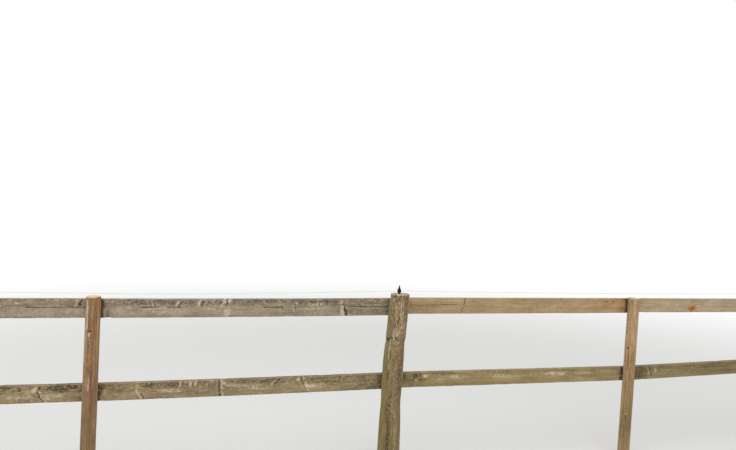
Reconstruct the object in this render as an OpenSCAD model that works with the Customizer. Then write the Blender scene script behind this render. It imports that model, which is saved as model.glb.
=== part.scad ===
// Two-rail timber paddock fence: four bays of sawn rails let into the backs of round posts,
// with an electric strand carried over the post heads on bulb insulators.
// X runs along the fence, Y points to the field side, where the rails are, and Z points up.
// The origin is the centre of the middle post's foot, at ground level.

/* [Bays] */
// Distance between the feet of neighbouring posts
bay = 1750; // [1500:10:2100]
// Height of the top rails' upper edge above the ground
top_rail_z = 1121; // [1000:1:1300]
// Height of the lower rails' upper edge above the ground
low_rail_z = 637; // [450:5:760]

/* [Rails] */
// Thickness of every rail
rail_t = 38; // [25:1:50]
// Height of the two old top rails
old_rail_h = 108; // [80:1:125]
// Height of the top rail that was renewed first
tan_rail_h = 103; // [80:1:125]
// Height of the newest top rail
pink_rail_h = 99; // [80:1:125]
// Height of the two old lower rails
low_rail_h = 98; // [75:1:120]
// Height of the two newer lower rails
low_new_rail_h = 96; // [75:1:120]
// Gap between two rail ends behind a post
butt_gap = 12; // [2:1:24]
// Bevel worn on the long edges of a rail
rail_arris = 2.5; // [1:0.5:5]
// Rise of the far end of the last lower rail
low_end_rise = 28; // [0:1:40]

/* [Posts] */
// Diameter of the left post at its head
left_head_d = 80; // [64:1:96]
// Diameter of the left post at the ground
left_foot_d = 83; // [70:1:110]
// Diameter of the middle post at its head
middle_head_d = 122; // [90:1:140]
// Diameter of the middle post at the ground
middle_foot_d = 153; // [110:1:170]
// Diameter of the right post at its head
right_head_d = 77; // [64:1:96]
// Diameter of the right post at the ground
right_foot_d = 80; // [70:1:110]
// Diameter of the first post at its head
first_head_d = 100; // [80:1:130]
// Diameter of the first post at the ground
first_foot_d = 108; // [90:1:140]
// Diameter of the last post at its head
last_head_d = 80; // [66:1:110]
// Diameter of the last post at the ground
last_foot_d = 84; // [72:1:120]
// Depth to which the rails are let into the posts at the head
seat_cut = 8.5; // [6:0.5:12]
// Free height left above and below a rail in its seat
seat_play = 2; // [0.5:0.5:5]
// Lean of the left post towards the right
left_lean = 0.45; // [0:0.05:2]
// Lean of the right post towards the right
right_lean = 2.3; // [0:0.1:4]
// Sideways sweep of the crooked middle post from foot to head
middle_sweep = 44; // [0:1:80]
// Kick of the middle post to the right just above the ground
middle_kick = 5.5; // [0:0.5:10]
// Height of the middle post's dead knot, as a share of the gap between the two rows of rails
knot_share = 0.59; // [0.4:0.01:0.75]
// Climb of the dead knot's ledge over the front of the middle post
knot_climb = 28; // [0:1:36]
// Swelling of the middle post above its dead knot
knot_swell = 5.5; // [0:0.5:8]
// Narrowing of the middle post below the lower rails
waist_depth = 5.5; // [0:0.5:8]

/* [Post heads above the top rail] */
// Rise of the first post's head
first_rise = 59; // [10:1:80]
// Rise of the left post's head
left_rise = 19; // [6:1:40]
// Rise of the middle post's head
middle_rise = 39; // [20:1:80]
// Rise of the right post's head
right_rise = 13; // [6:1:40]
// Rise of the last post's head
last_rise = 30; // [10:1:80]
// Rounding of a sawn post head
head_round = 4; // [1:0.5:8]
// Fall of the right post's sawn head towards the right
right_head_fall = 5; // [0:0.5:10]

/* [Insulators] */
// Radius of the insulator bulb
bulb_r = 13; // [11:0.5:18]
// Height of the bulb
bulb_h = 32; // [24:1:40]
// Height of the stem between the post head and the bulb
stem_h = 4; // [4:0.5:20]
// Radius of the stem and of the neck
stem_r = 4.8; // [4.5:0.1:6]
// Height of the neck above the bulb
neck_h = 10; // [4:1:16]
// Radius of the steel pin
pin_r = 3; // [2:0.1:3.4]
// Length of the pin in the post
pin_in = 40; // [20:1:60]
// Length of the pin's tip above the neck
pin_tip = 7; // [3:1:12]
// How far left of the middle post's head centre its pin is set
pin_aside = 7.5; // [0:0.5:15]

/* [Strand] */
// Radius of the strand
strand_r = 1.4; // [1:0.1:1.8]
// Dip of the left span below its chord
left_dip = 31; // [5:1:40]
// Dip of the right span below its chord
right_dip = 11; // [4:1:16]

/* [Hidden] */
$fn = 96;

// Finishes as they look in daylight
grey_wood = "#8f8270";
tan_wood = "#a48a6b";
pale_wood = "#a5968a";
old_post_wood = "#87765f";
new_post_wood = "#9f7c58";
black_plastic = "#17181b";
rusty_steel = "#8a5a3a";
strand_white = "#cfd8c8";

// The plane in which the rails' front faces lie against their seats
seat_y = middle_head_d / 2 - seat_cut;

// Posts are numbered 0 to 4 from left to right
middle_no = 2;
post_foot_x = [for (i = [0 : 4]) (i - middle_no) * bay];
post_head_d = [first_head_d, left_head_d, middle_head_d, right_head_d, last_head_d];
post_foot_d = [first_foot_d, left_foot_d, middle_foot_d, right_foot_d, last_foot_d];
post_rise = [first_rise, left_rise, middle_rise, right_rise, last_rise];
post_lean = [0, left_lean, 0, right_lean, 0];
function head_z(i) = top_rail_z + post_rise[i];
function post_y(i) = i == middle_no ? 0 : seat_y + seat_cut - post_head_d[i] / 2;

// The middle post kicks aside at its foot, rises plumb and sweeps to the right near its head
kick_reach = 90;
sweep_power = 2.6;
function sweep_x(z) =
    middle_kick * (1 - exp(-z / kick_reach))
    + middle_sweep * pow(z / head_z(middle_no), sweep_power);
function axis_x(i, z) =
    post_foot_x[i] + (i == middle_no ? sweep_x(z) : z * tan(post_lean[i]));

// Set of each rail: how far its left and right ends lie above the common line
top_set = [[8, -2], [-3, 1], [4, 1], [1, -5]];
low_set = [[14, -2], [-3, 3], [5, -5], [-6, low_end_rise]];
top_h = [old_rail_h, old_rail_h, tan_rail_h, pink_rail_h];
low_h = [low_rail_h, low_rail_h, low_new_rail_h, low_new_rail_h];
end_overhang = 25;

// Ends of rail n of a row whose upper edge is at z and whose height is h
function row_mid(z, h) = z - h / 2;
function rail_left(n, z, h) =
    axis_x(n, row_mid(z, h)) + (n == 0 ? -end_overhang : butt_gap / 2);
function rail_right(n, z, h) =
    axis_x(n + 1, row_mid(z, h)) + (n == 3 ? end_overhang : -butt_gap / 2);

// Lowest and highest point that the rails of one row reach at post i
function reach_low(i, z, hs, set) =
    min([for (n = [max(0, i - 1) : min(3, i)]) z - hs[n] + set[n][i == n ? 0 : 1]]);
function reach_high(i, z, hs, set) =
    max([for (n = [max(0, i - 1) : min(3, i)]) z + set[n][i == n ? 0 : 1]]);
seat_end_play = seat_play + 1;
function seats(i) = [
    [reach_low(i, low_rail_z, low_h, low_set) - seat_end_play,
     reach_high(i, low_rail_z, low_h, low_set) + seat_end_play],
    [reach_low(i, top_rail_z, top_h, top_set) - seat_end_play,
     reach_high(i, top_rail_z, top_h, top_set) + seat_end_play]
];

// Insulator heights above the post head
strand_level = stem_h + 15;
bulb_top = stem_h + bulb_h;
neck_top = bulb_top + neck_h;
pin_play = 0.2;
hole_play = 0.5;
// The strand passes in front of the pin
strand_off = pin_r + pin_play + strand_r + hole_play + 1.6;
function insulator_at(i) =
    [axis_x(i, head_z(i)) - (i == middle_no ? pin_aside : 0), post_y(i), head_z(i)];
function strand_at(i) = insulator_at(i) + [0, -strand_off, strand_level];
knot_r = 3.6;

// A long shallow drying check: a sharp-edged disc that runs out at both ends
module drying_check(length, depth, width) {
    disc_r = (length * length / 4 + depth * depth) / (2 * depth);
    translate([disc_r - depth, 0, 0])
        rotate([90, 0, 0])
            for (side = [0, 1])
                mirror([0, 0, side])
                    cylinder(h = width / 2, r1 = disc_r, r2 = disc_r - depth, $fn = 180);
}

// Checks round a post: angle, height of the middle, length, depth and width of each
module post_checks(list, r) {
    for (c = list)
        translate([0, 0, c[1]])
            rotate([0, 0, c[0]])
                translate([r, 0, 0])
                    drying_check(c[2], c[3], c[4]);
}

// Space taken by the rails in the back of post i
module rail_seats(i) {
    seat_w = 2 * post_foot_d[i];
    for (s = seats(i))
        translate([axis_x(i, s[0]) - seat_w / 2, seat_y, s[0]])
            cube([seat_w, post_foot_d[i], s[1] - s[0]]);
}

// Straight post i, turned to a slight taper, leaning in the plane of the fence
module straight_post(i, fall, checks) {
    buried = 30;
    spare = 20;
    r_head = post_head_d[i] / 2;
    r_foot = post_foot_d[i] / 2;
    h = head_z(i);
    cut = atan(fall / post_head_d[i]);
    difference() {
        translate([post_foot_x[i], post_y(i), 0])
            rotate([0, post_lean[i], 0])
                difference() {
                    rotate_extrude()
                        polygon([
                            [0, -buried], [r_foot, -buried],
                            [r_head, h - head_round],
                            [r_head - head_round * (1 - cos(45)), h - head_round * (1 - sin(45))],
                            [r_head - head_round, h], [0, h]
                        ]);
                    post_checks(checks, (r_head + r_foot) / 2);
                    if (fall > 0)
                        translate([-r_head, 0, h])
                            rotate([0, cut, 0])
                                translate([0, -2 * r_head, 0])
                                    cube([4 * r_head, 4 * r_head, spare]);
                }
        rail_seats(i);
        translate([post_foot_x[i] - 2 * r_foot, post_y(i) - 2 * r_foot, -2 * buried])
            cube([4 * r_foot, 4 * r_foot, 2 * buried]);
    }
}

// Hole for an insulator's pin in the head of post i
module pin_hole(i) {
    over = 10;
    translate(insulator_at(i) - [0, 0, pin_in])
        cylinder(h = pin_in + over, r = pin_r + pin_play, $fn = 32);
}

// Rings of points joined into one closed skin, first and last ring capped
module skin(rings) {
    n = len(rings[0]);
    m = len(rings);
    polyhedron(
        points = [for (ring = rings) each ring],
        faces = concat(
            [[for (i = [0 : n - 1]) i]],
            [for (k = [0 : m - 2]) for (i = [0 : n - 1])
                [k * n + i, (k + 1) * n + i, (k + 1) * n + (i + 1) % n, k * n + (i + 1) % n]],
            [[for (i = [n - 1 : -1 : 0]) (m - 1) * n + i]]
        ),
        convexity = 6
    );
}

// Crooked middle post: a weathered trunk with furrows that open towards the head
sides = 72;
function smooth(a, b, v) =
    let (u = min(1, max(0, (v - a) / (b - a))))
    u * u * (3 - 2 * u);
function turn(a, b) = abs((a - b + 540) % 360 - 180);
// Furrows: angle, depth at the head, length from the head down
furrows = [
    [15, 5, 260], [60, 6, 330], [105, 4, 210], [150, 6, 290], [195, 5, 240], [220, 8, 420],
    [235, 6, 190], [250, 9, 360], [270, 5, 240], [285, 7, 300], [305, 4, 180], [335, 6, 280]
];
// Long checks in the lower trunk: angle, depth, lowest and highest point
trunk_checks = [[245, 7, 20, 720], [300, 4, 260, 640], [95, 7, 60, 560], [170, 5, 160, 600]];
// The dead knot is a crooked ledge across the front and left of the trunk
knot_angle = 235;
gap_low = seats(middle_no)[0][1];
gap_high = seats(middle_no)[1][0];
knot_z = gap_low + knot_share * (gap_high - gap_low);
knot_half = 28;
waist_z = 0.74 * low_rail_z;
belly_z = 1.11 * low_rail_z;
function furrow_depth(a, z) =
    let (down = head_z(middle_no) - z)
    max([for (f = furrows)
        turn(a, f[0]) < 180 / sides ? f[1] * (1 - smooth(0.25 * f[2], f[2], down)) : 0]);
function check_depth(a, z) =
    max([for (c = trunk_checks)
        turn(a, c[0]) < 180 / sides
            ? c[1] * smooth(c[2], c[2] + 120, z) * (1 - smooth(c[3] - 160, c[3], z)) : 0]);
function hump(v) = exp(-v * v);
function knot_line(a) = knot_z + knot_climb * (hump(turn(a, 243) / 22) + 0.35 * hump(turn(a, 282) / 16));
function knot_depth(a, z) =
    7 * hump(turn(a, knot_angle) / 52) * hump((z - knot_line(a)) / 12);
// Swelling that ends above the knot, a slight belly over the lower rails and a waist below them
function wave(z) =
    knot_swell * smooth(knot_z - 14, knot_z + 26, z) * (1 - smooth(knot_z + 150, knot_z + 350, z))
    + 0.5 * waist_depth * hump((z - belly_z) / 90) - waist_depth * hump((z - waist_z) / 70);
function trunk_r(a, z) =
    let (
        plain = (middle_foot_d + (middle_head_d - middle_foot_d) * z / head_z(middle_no)) / 2,
        lobes = 1.1 * sin(3 * a + 20) + 0.8 * sin(5 * a + z / 9)
    )
    plain + wave(z) + lobes - 1.9 - furrow_depth(a, z) - check_depth(a, z) - knot_depth(a, z);
function in_seat(z, s) = z >= s[0] && z <= s[1];
function trunk_point(a, z, inset) =
    let (
        r = trunk_r(a, z) - inset,
        seated = in_seat(z, seats(middle_no)[0]) || in_seat(z, seats(middle_no)[1]),
        y = r * sin(a)
    )
    [axis_x(middle_no, z) + r * cos(a), seated ? min(y, seat_y) : y, z];
function trunk_ring(z, inset = 0) =
    [for (i = [0 : sides - 1]) trunk_point(i * 360 / sides, z, inset)];
function round_ring(z, r) =
    [for (i = [0 : sides - 1])
        [insulator_at(middle_no)[0] + r * cos(i * 360 / sides), r * sin(i * 360 / sides), z]];
function steps(a, b, n) = [for (i = [0 : n]) a + (b - a) * i / n];

module middle_post() {
    lip = 0.8;
    low = seats(middle_no)[0];
    high = seats(middle_no)[1];
    top = head_z(middle_no);
    levels = concat(
        steps(0, low[0] - lip, 12), steps(low[0], low[1], 2),
        steps(low[1] + lip, knot_z - knot_half - 8, 4),
        steps(knot_z - knot_half, knot_z + knot_climb + knot_half, 10),
        steps(knot_z + knot_climb + knot_half + 8, high[0] - lip, 3), steps(high[0], high[1], 3),
        [high[1] + lip, top - head_round]
    );
    rings = concat(
        [for (z = levels) trunk_ring(z)],
        [[for (p = trunk_ring(top - head_round, head_round)) [p[0], p[1], top]]],
        [round_ring(top, pin_r + pin_play), round_ring(top - pin_in, pin_r + pin_play)]
    );
    color(old_post_wood) skin(rings);
}

module left_end_post() {
    color(old_post_wood)
        difference() {
            straight_post(0, 0, [[250, 760, 700, 9, 5], [305, 980, 520, 8, 4], [70, 700, 640, 10, 5]]);
            pin_hole(0);
        }
}

module left_post() {
    color(new_post_wood)
        straight_post(1, 0, [[290, 420, 520, 5, 2.5], [100, 640, 760, 7, 3]]);
}

module right_post() {
    color(tan_wood)
        straight_post(3, right_head_fall, [[238, 760, 360, 7, 3], [75, 600, 820, 7, 3]]);
}

module right_end_post() {
    color(new_post_wood)
        difference() {
            straight_post(4, 0, [[262, 700, 620, 6, 3], [110, 560, 700, 7, 3]]);
            pin_hole(4);
        }
}

// Sawn board from one end to the other, with worn long edges and shakes in its front face
// Shakes: share of the length, share of the height, length, depth and width of each
module rail(n, z, hs, set, shakes) {
    h = hs[n];
    xa = rail_left(n, z, h);
    xb = rail_right(n, z, h);
    rise = atan((set[n][1] - set[n][0]) / (xb - xa));
    length = (xb - xa) / cos(rise);
    translate([xa, seat_y, z + set[n][0] - h])
        rotate([0, -rise, 0])
            difference() {
                rotate([90, 0, 90])
                    linear_extrude(height = length)
                        polygon([
                            [0, rail_arris], [rail_arris, 0], [rail_t - rail_arris, 0],
                            [rail_t, rail_arris], [rail_t, h - rail_arris],
                            [rail_t - rail_arris, h], [rail_arris, h], [0, h - rail_arris]
                        ]);
                for (s = shakes)
                    translate([s[0] * length, 0, s[1] * h])
                        rotate([90, 0, 0])
                            rotate([0, -90, 0])
                                drying_check(s[2], s[3], s[4]);
                children();
            }
}

module top_rail_1() {
    color(grey_wood)
        rail(0, top_rail_z, top_h, top_set, [[0.82, 0.56, 620, 4, 3], [0.3, 0.6, 520, 3, 3]]);
}

// The left end has rotted back on its front face and lower corner
module top_rail_2() {
    rot_deep = 0.6 * rail_t;
    color(grey_wood)
        rail(1, top_rail_z, top_h, top_set, [[0.25, 0.5, 420, 3, 3], [0.84, 0.53, 480, 4, 3]])
            translate([0.8 * left_head_d, -rot_deep * 0.2, -5])
                rotate([0, -20, 0])
                    cylinder(h = 0.8 * old_rail_h, r = 0.5 * rot_deep, $fn = 48);
}

module top_rail_3() {
    color(tan_wood)
        rail(2, top_rail_z, top_h, top_set, [[0.15, 0.48, 540, 3, 2]]);
}

module top_rail_4() {
    color(pale_wood)
        rail(3, top_rail_z, top_h, top_set, [[0.6, 0.45, 460, 3, 2]]);
}

module low_rail_1() {
    color(grey_wood)
        rail(0, low_rail_z, low_h, low_set, [[0.9, 0.5, 320, 4, 3], [0.4, 0.58, 500, 3, 3]]);
}

module low_rail_2() {
    color(grey_wood)
        rail(1, low_rail_z, low_h, low_set, [[0.3, 0.52, 560, 3, 3], [0.75, 0.6, 400, 4, 3]]);
}

module low_rail_3() {
    color(tan_wood)
        rail(2, low_rail_z, low_h, low_set, [[0.1, 0.5, 300, 4, 3], [0.7, 0.44, 420, 3, 2]]);
}

module low_rail_4() {
    color(pale_wood)
        rail(3, low_rail_z, low_h, low_set, [[0.45, 0.55, 600, 3, 3]]);
}

// Bulb insulator on the head of post i, with a bore for its pin and a slotted strand hole
module insulator(i) {
    steps = 12;
    foot_r = stem_r + 1.6;
    foot_h = 2.5;
    slot_h = 1;
    swell = bulb_r - stem_r;
    bulb = [for (k = [0 : steps])
        let (u = k / steps)
        [stem_r + swell * pow(sin(180 * pow(u, 0.72)), 0.8), stem_h + bulb_h * u]];
    color(black_plastic)
        translate(insulator_at(i))
            difference() {
                rotate_extrude()
                    polygon(concat(
                        [[pin_r + pin_play, 0], [foot_r, 0], [foot_r, foot_h], [stem_r, foot_h + 1]],
                        bulb,
                        [[stem_r, neck_top - 1], [stem_r - 1, neck_top], [pin_r + pin_play, neck_top]]
                    ));
                translate([-2 * bulb_r, -strand_off, strand_level])
                    rotate([0, 90, 0])
                        cylinder(h = 4 * bulb_r, r = strand_r + hole_play, $fn = 32);
                translate([-2 * bulb_r, -2 * bulb_r, strand_level - slot_h / 2])
                    cube([4 * bulb_r, 2 * bulb_r - strand_off, slot_h]);
            }
}

// Steel pin through the insulator into the head of post i, ending in a rusted point
module insulator_pin(i) {
    point = 2;
    shaft = pin_in + neck_top + pin_tip - point;
    color(rusty_steel)
        translate(insulator_at(i) - [0, 0, pin_in]) {
            cylinder(h = shaft, r = pin_r, $fn = 32);
            translate([0, 0, shaft])
                cylinder(h = point, r1 = pin_r, r2 = pin_r / 2, $fn = 32);
        }
}

// Taut strand from the insulator on post a to the one on post b
module strand(a, b, dip) {
    spans = 28;
    strand_sides = 8;
    from = strand_at(a);
    to = strand_at(b);
    knot_gap = bulb_r + 2;
    start = a == 0 ? from - [knot_gap, 0, 0] : from;
    end = b == 4 ? to + [knot_gap, 0, 0] : to;
    color(strand_white)
        skin([for (k = [0 : spans])
            let (u = k / spans, centre = start + (end - start) * u - [0, 0, 4 * dip * u * (1 - u)])
            [for (s = [0 : strand_sides - 1])
                centre + strand_r * [0, cos(s * 360 / strand_sides), -sin(s * 360 / strand_sides)]]]);
}

// Knot that stops the strand on the outer side of an end insulator
module strand_knot(i, outward) {
    turns = 3;
    wrap = 1.2;
    color(strand_white)
        translate(strand_at(i) + [outward * (bulb_r + 2), 0, 0])
            rotate([0, outward * 90, 0])
                rotate_extrude()
                    union() {
                        square([knot_r - wrap, 2 * wrap * turns]);
                        for (t = [0 : turns - 1])
                            translate([knot_r - wrap, wrap * (2 * t + 1)])
                                circle(r = wrap, $fn = 24);
                    }
}

module left_insulator() { insulator(0); }
module middle_insulator() { insulator(2); }
module right_insulator() { insulator(4); }
module left_insulator_pin() { insulator_pin(0); }
module middle_insulator_pin() { insulator_pin(2); }
module right_insulator_pin() { insulator_pin(4); }
module left_strand() { strand(0, 2, left_dip); }
module right_strand() { strand(2, 4, right_dip); }
module left_strand_knot() { strand_knot(0, -1); }
module right_strand_knot() { strand_knot(4, 1); }

left_end_post();
left_post();
middle_post();
right_post();
right_end_post();
top_rail_1();
top_rail_2();
top_rail_3();
top_rail_4();
low_rail_1();
low_rail_2();
low_rail_3();
low_rail_4();
left_insulator();
middle_insulator();
right_insulator();
left_insulator_pin();
middle_insulator_pin();
right_insulator_pin();
left_strand();
right_strand();
left_strand_knot();
right_strand_knot();
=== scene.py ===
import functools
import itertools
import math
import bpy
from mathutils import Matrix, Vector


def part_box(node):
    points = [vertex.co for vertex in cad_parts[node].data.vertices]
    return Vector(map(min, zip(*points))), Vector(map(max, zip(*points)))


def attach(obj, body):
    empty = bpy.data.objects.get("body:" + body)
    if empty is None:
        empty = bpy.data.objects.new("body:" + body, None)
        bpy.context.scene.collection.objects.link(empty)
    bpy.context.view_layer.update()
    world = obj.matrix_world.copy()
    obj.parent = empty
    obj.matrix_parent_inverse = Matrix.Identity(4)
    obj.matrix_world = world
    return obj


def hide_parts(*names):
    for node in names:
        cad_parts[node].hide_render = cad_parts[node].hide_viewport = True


bl_info = {
    "name": "Paddock Fence",
    "version": (1, 0, 0),
    "blender": (4, 5, 0),
    "location": "View3D > Sidebar > Fence",
    "description": "Weathered post-and-rail fence built over its construction model",
    "category": "Object",
}

import bpy
import numpy as np
from bpy.props import FloatProperty, FloatVectorProperty, IntProperty, PointerProperty
from mathutils import Matrix, Vector

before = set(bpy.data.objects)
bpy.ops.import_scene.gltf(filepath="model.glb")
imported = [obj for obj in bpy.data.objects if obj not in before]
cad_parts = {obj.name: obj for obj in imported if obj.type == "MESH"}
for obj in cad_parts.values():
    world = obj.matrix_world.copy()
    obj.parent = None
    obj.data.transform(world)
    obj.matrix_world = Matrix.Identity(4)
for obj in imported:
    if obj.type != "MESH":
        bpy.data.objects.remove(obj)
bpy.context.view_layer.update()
MM = 0.001
TURN = 2 * math.pi


def paint(code):
    """A colour written as a web code, as linear values."""
    parts = [int(code[k:k + 2], 16) / 255 for k in (1, 3, 5)]
    return [v / 12.92 if v <= 0.04045 else ((v + 0.055) / 1.055) ** 2.4 for v in parts]


def colour_property(name, description, code):
    return FloatVectorProperty(
        name=name, description=description, subtype="COLOR", size=3,
        min=0.0, max=1.0, default=paint(code),
    )


def length_property(name, description, metres):
    return FloatProperty(
        name=name, description=description, subtype="DISTANCE", unit="LENGTH",
        min=0.0, default=metres,
    )


def angle_property(name, description, degrees):
    return FloatProperty(
        name=name, description=description, subtype="ANGLE", unit="ROTATION",
        default=math.radians(degrees),
    )


# Settings

class FenceRails(bpy.types.PropertyGroup):
    grid: length_property("Grid", "Distance between rows of points along a rail", 9 * MM)
    fine_grid: length_property("Fine grid", "Distance between rows beside a knot", 2.5 * MM)
    wear: length_property("Wear", "How deep the weather has worn the faces", 0.8 * MM)
    sag: length_property("Sag", "How far an old rail hangs through between its posts", 2.5 * MM)
    ring_gap: length_property("Ring gap", "Width of a growth ring", 4.5 * MM)
    grey: colour_property("Grey", "Weathered face of an old rail", "#ada08a")
    grey_dark: colour_property("Grey, dark", "Damp streaks in an old rail", "#857761")
    tan: colour_property("Tan", "Face of a renewed rail", "#baa17f")
    tan_dark: colour_property("Tan, dark", "Streaks in a renewed rail", "#9c8059")
    pale: colour_property("Pale", "Face of the newest rail", "#c5b195")
    pale_dark: colour_property("Pale, dark", "Streaks in the newest rail", "#a8916d")
    dun: colour_property("Dun", "Weathered face of an old lower rail", "#a99672")
    dun_dark: colour_property("Dun, dark", "Damp streaks in an old lower rail", "#816f50")
    damp: colour_property("Damp", "Face of a rail that stays damp", "#b39f77")
    damp_dark: colour_property("Damp, dark", "Streaks in a rail that stays damp", "#836e46")
    mould: colour_property("Mould", "Dark mould on the upper half", "#483c28")


class FencePosts(bpy.types.PropertyGroup):
    columns: IntProperty(name="Columns", description="Points round a post", min=48, default=168)
    grid: length_property("Grid", "Distance between rings of points along a post", 5.5 * MM)
    wear: length_property("Wear", "How deep the weather has worn the skin", 0.5 * MM)
    furrow: length_property("Furrow", "Depth of the furrows in an old post", 4.5 * MM)
    ring_gap: length_property("Ring gap", "Width of a growth ring", 4 * MM)
    old: colour_property("Old", "Weathered skin of an old post", "#aa9069")
    old_dark: colour_property("Old, dark", "Streaks in an old post", "#715b38")
    brown: colour_property("Brown", "Skin of the warm brown posts", "#aa8762")
    brown_dark: colour_property("Brown, dark", "Streaks in the brown posts", "#79583c")
    tan: colour_property("Tan", "Skin of the leaning post", "#c4a379")
    tan_dark: colour_property("Tan, dark", "Streaks in the leaning post", "#98754f")
    cut_fresh: colour_property("Fresh cut", "Sawn head of a newer post", "#ecd6b4")
    cut_old: colour_property("Old cut", "Sawn head of an old post", "#cbc3b0")
    algae: colour_property("Algae", "Green growth on the damp side", "#77743a")


class FenceFittings(bpy.types.PropertyGroup):
    nail_head: length_property("Nail head", "Radius of a nail head", 4.5 * MM)
    twist: length_property("Twist", "Length in which the strand turns once", 22 * MM)
    plastic: colour_property("Plastic", "Black insulator plastic", "#141416")
    rust: colour_property("Rust", "Rusted steel", "#8a4f2c")
    strand: colour_property("Strand", "Polymer filaments", "#dfe6d4")


class FenceStage(bpy.types.PropertyGroup):
    camera_place: FloatVectorProperty(
        name="Camera place", description="Where the camera stands", subtype="TRANSLATION",
        unit="LENGTH", size=3, default=(-1.0065, -3.3927, 1.6053))
    heading: angle_property("Heading", "Turn from straight ahead towards the right", 13.75)
    pitch: angle_property("Pitch", "Tilt of the camera towards the ground", 0.28)
    roll: angle_property("Roll", "Turn of the camera about its own line of sight", 1.93)
    focal: FloatProperty(
        name="Focal length", description="Lens, in millimetres", subtype="DISTANCE_CAMERA",
        default=27.39)
    floor: colour_property("Floor", "Plain pale floor", "#e6e6e4")
    sky: FloatProperty(name="Sky", description="Strength of the even sky light", default=0.75)
    lamp: FloatProperty(name="Lamp", description="Power of the wide lamp overhead", default=180)


def placed(name, data):
    """A new object in the scene."""
    thing = bpy.data.objects.new(name, data)
    bpy.context.scene.collection.objects.link(thing)
    return thing


# Node arithmetic

def maths(operation, swapped=False):
    """A method that adds a Math node; swapped puts the wire last."""
    def method(wire, *others):
        terms = (*others, wire) if swapped else (wire, *others)
        return wire.nodes.node(
            "ShaderNodeMath", {"operation": operation}, dict(enumerate(terms)))
    return method


class Wire:
    """A node's socket that can be used in Python expressions."""

    def __init__(self, nodes, socket):
        self.nodes = nodes
        self.socket = socket

    __add__ = __radd__ = maths("ADD")
    __mul__ = __rmul__ = maths("MULTIPLY")
    __sub__, __rsub__ = maths("SUBTRACT"), maths("SUBTRACT", swapped=True)
    __truediv__, __rtruediv__ = maths("DIVIDE"), maths("DIVIDE", swapped=True)
    sine, cosine = maths("SINE"), maths("COSINE")
    most, least = maths("MAXIMUM"), maths("MINIMUM")

    def between(self, low, high):
        """0 below low, 1 above high, smooth in between."""
        return self.nodes.node(
            "ShaderNodeMapRange", {"interpolation_type": "SMOOTHSTEP"},
            {"Value": self, "From Min": low, "From Max": high})

    def times(self, stretch):
        """A vector socket, each part multiplied."""
        return self.nodes.node(
            "ShaderNodeVectorMath", {"operation": "MULTIPLY"}, {0: self, 1: stretch})

    def turned(self, angles, stretch):
        """A vector socket, turned and then each part multiplied."""
        return self.nodes.node("ShaderNodeMapping", {"vector_type": "TEXTURE"}, {
            "Vector": self, "Rotation": angles, "Scale": [1 / k for k in stretch]})

    def scaled(self, amount):
        """A colour made lighter or darker, or a vector longer or shorter, by a value."""
        return self.nodes.node(
            "ShaderNodeVectorMath", {"operation": "SCALE"}, {0: self, "Scale": amount})

    def part(self, index):
        """One part of a vector socket."""
        return self.nodes.node("ShaderNodeSeparateXYZ", {}, {0: self}, output=index)


class Nodes:
    """A node tree under construction."""

    def __init__(self, tree):
        self.tree = tree

    def add(self, kind, options=None, inputs=None):
        """Adds a node: first its settings, then the values and links of its sockets."""
        made = self.tree.nodes.new(kind)
        for key, value in (options or {}).items():
            setattr(made, key, value)
        self.feed(made, inputs or {})
        return made

    def node(self, kind, options=None, inputs=None, output=0):
        """Adds a node and gives one of its outputs as a wire."""
        return Wire(self, self.add(kind, options, inputs).outputs[output])

    def feed(self, made, inputs):
        for key, value in inputs.items():
            if isinstance(value, Wire):
                self.tree.links.new(value.socket, made.inputs[key])
            else:
                made.inputs[key].default_value = value


class Shader(Nodes):
    """One procedural material under construction."""

    def __init__(self, name):
        self.material = bpy.data.materials.new(name)
        self.material.use_nodes = True
        super().__init__(self.material.node_tree)
        self.surface = self.tree.nodes["Principled BSDF"]

    def attribute(self, name):
        return self.node(
            "ShaderNodeAttribute", {"attribute_type": "GEOMETRY", "attribute_name": name},
            output="Vector")

    def place(self):
        return self.node("ShaderNodeTexCoord", output="Object")

    def noise(self, vector, detail, roughness, distortion=0.0):
        return self.node("ShaderNodeTexNoise", {"noise_dimensions": "3D"}, {
            "Vector": vector, "Scale": 1.0, "Detail": detail, "Roughness": roughness,
            "Distortion": distortion})

    def blend(self, share, first, second):
        """Two colours mixed; a share of 1 gives the second."""
        colours = [v if isinstance(v, Wire) else (*v, 1) for v in (first, second)]
        return self.node(
            "ShaderNodeMix", {"data_type": "RGBA", "blend_type": "MIX", "clamp_factor": True},
            {0: share, 6: colours[0], 7: colours[1]}, output=2)

    def layered(self, colour, *layers):
        """Lays colours over the first; each layer is its share and its colour."""
        for share, over in layers:
            colour = self.blend(share, colour, over)
        return colour

    def bump(self, height, distance, strength=1.0):
        return self.node("ShaderNodeBump", {}, {
            "Height": height, "Distance": distance, "Strength": strength})

    def finish(self, inputs):
        """Sets or links the surface's own sockets and hands over the material."""
        self.feed(self.surface, inputs)
        return self.material


# Steady noise for shapes

def lattice(cells, seed):
    """Random numbers from 0 to 1 that belong to whole-number places."""
    mixed = cells[..., 0] * 73856093 ^ cells[..., 1] * 19349663 ^ cells[..., 2] * 83492791
    mixed = (mixed ^ seed * 2654435761) & 0xFFFFFFFF
    for _ in range(2):
        mixed = ((mixed ^ mixed >> 16) * 0x45D9F3B) & 0xFFFFFFFF
    return (mixed & 0xFFFF) / 65535.0


def ripple(points, seed):
    """Smooth noise from -1 to 1."""
    base = np.floor(points).astype(np.int64)
    part = points - base
    part = part * part * (3 - 2 * part)
    total = 0
    for corner in itertools.product((0, 1), repeat=3):
        weight = np.prod(np.where(corner, part, 1 - part), axis=-1)
        total = total + weight * lattice(base + np.array(corner), seed)
    return total * 2 - 1


def ease(low, high, value):
    """0 at low, 1 at high, smooth in between; low may be the larger."""
    share = np.clip((value - low) / (high - low), 0, 1)
    return share * share * (3 - 2 * share)


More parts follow.
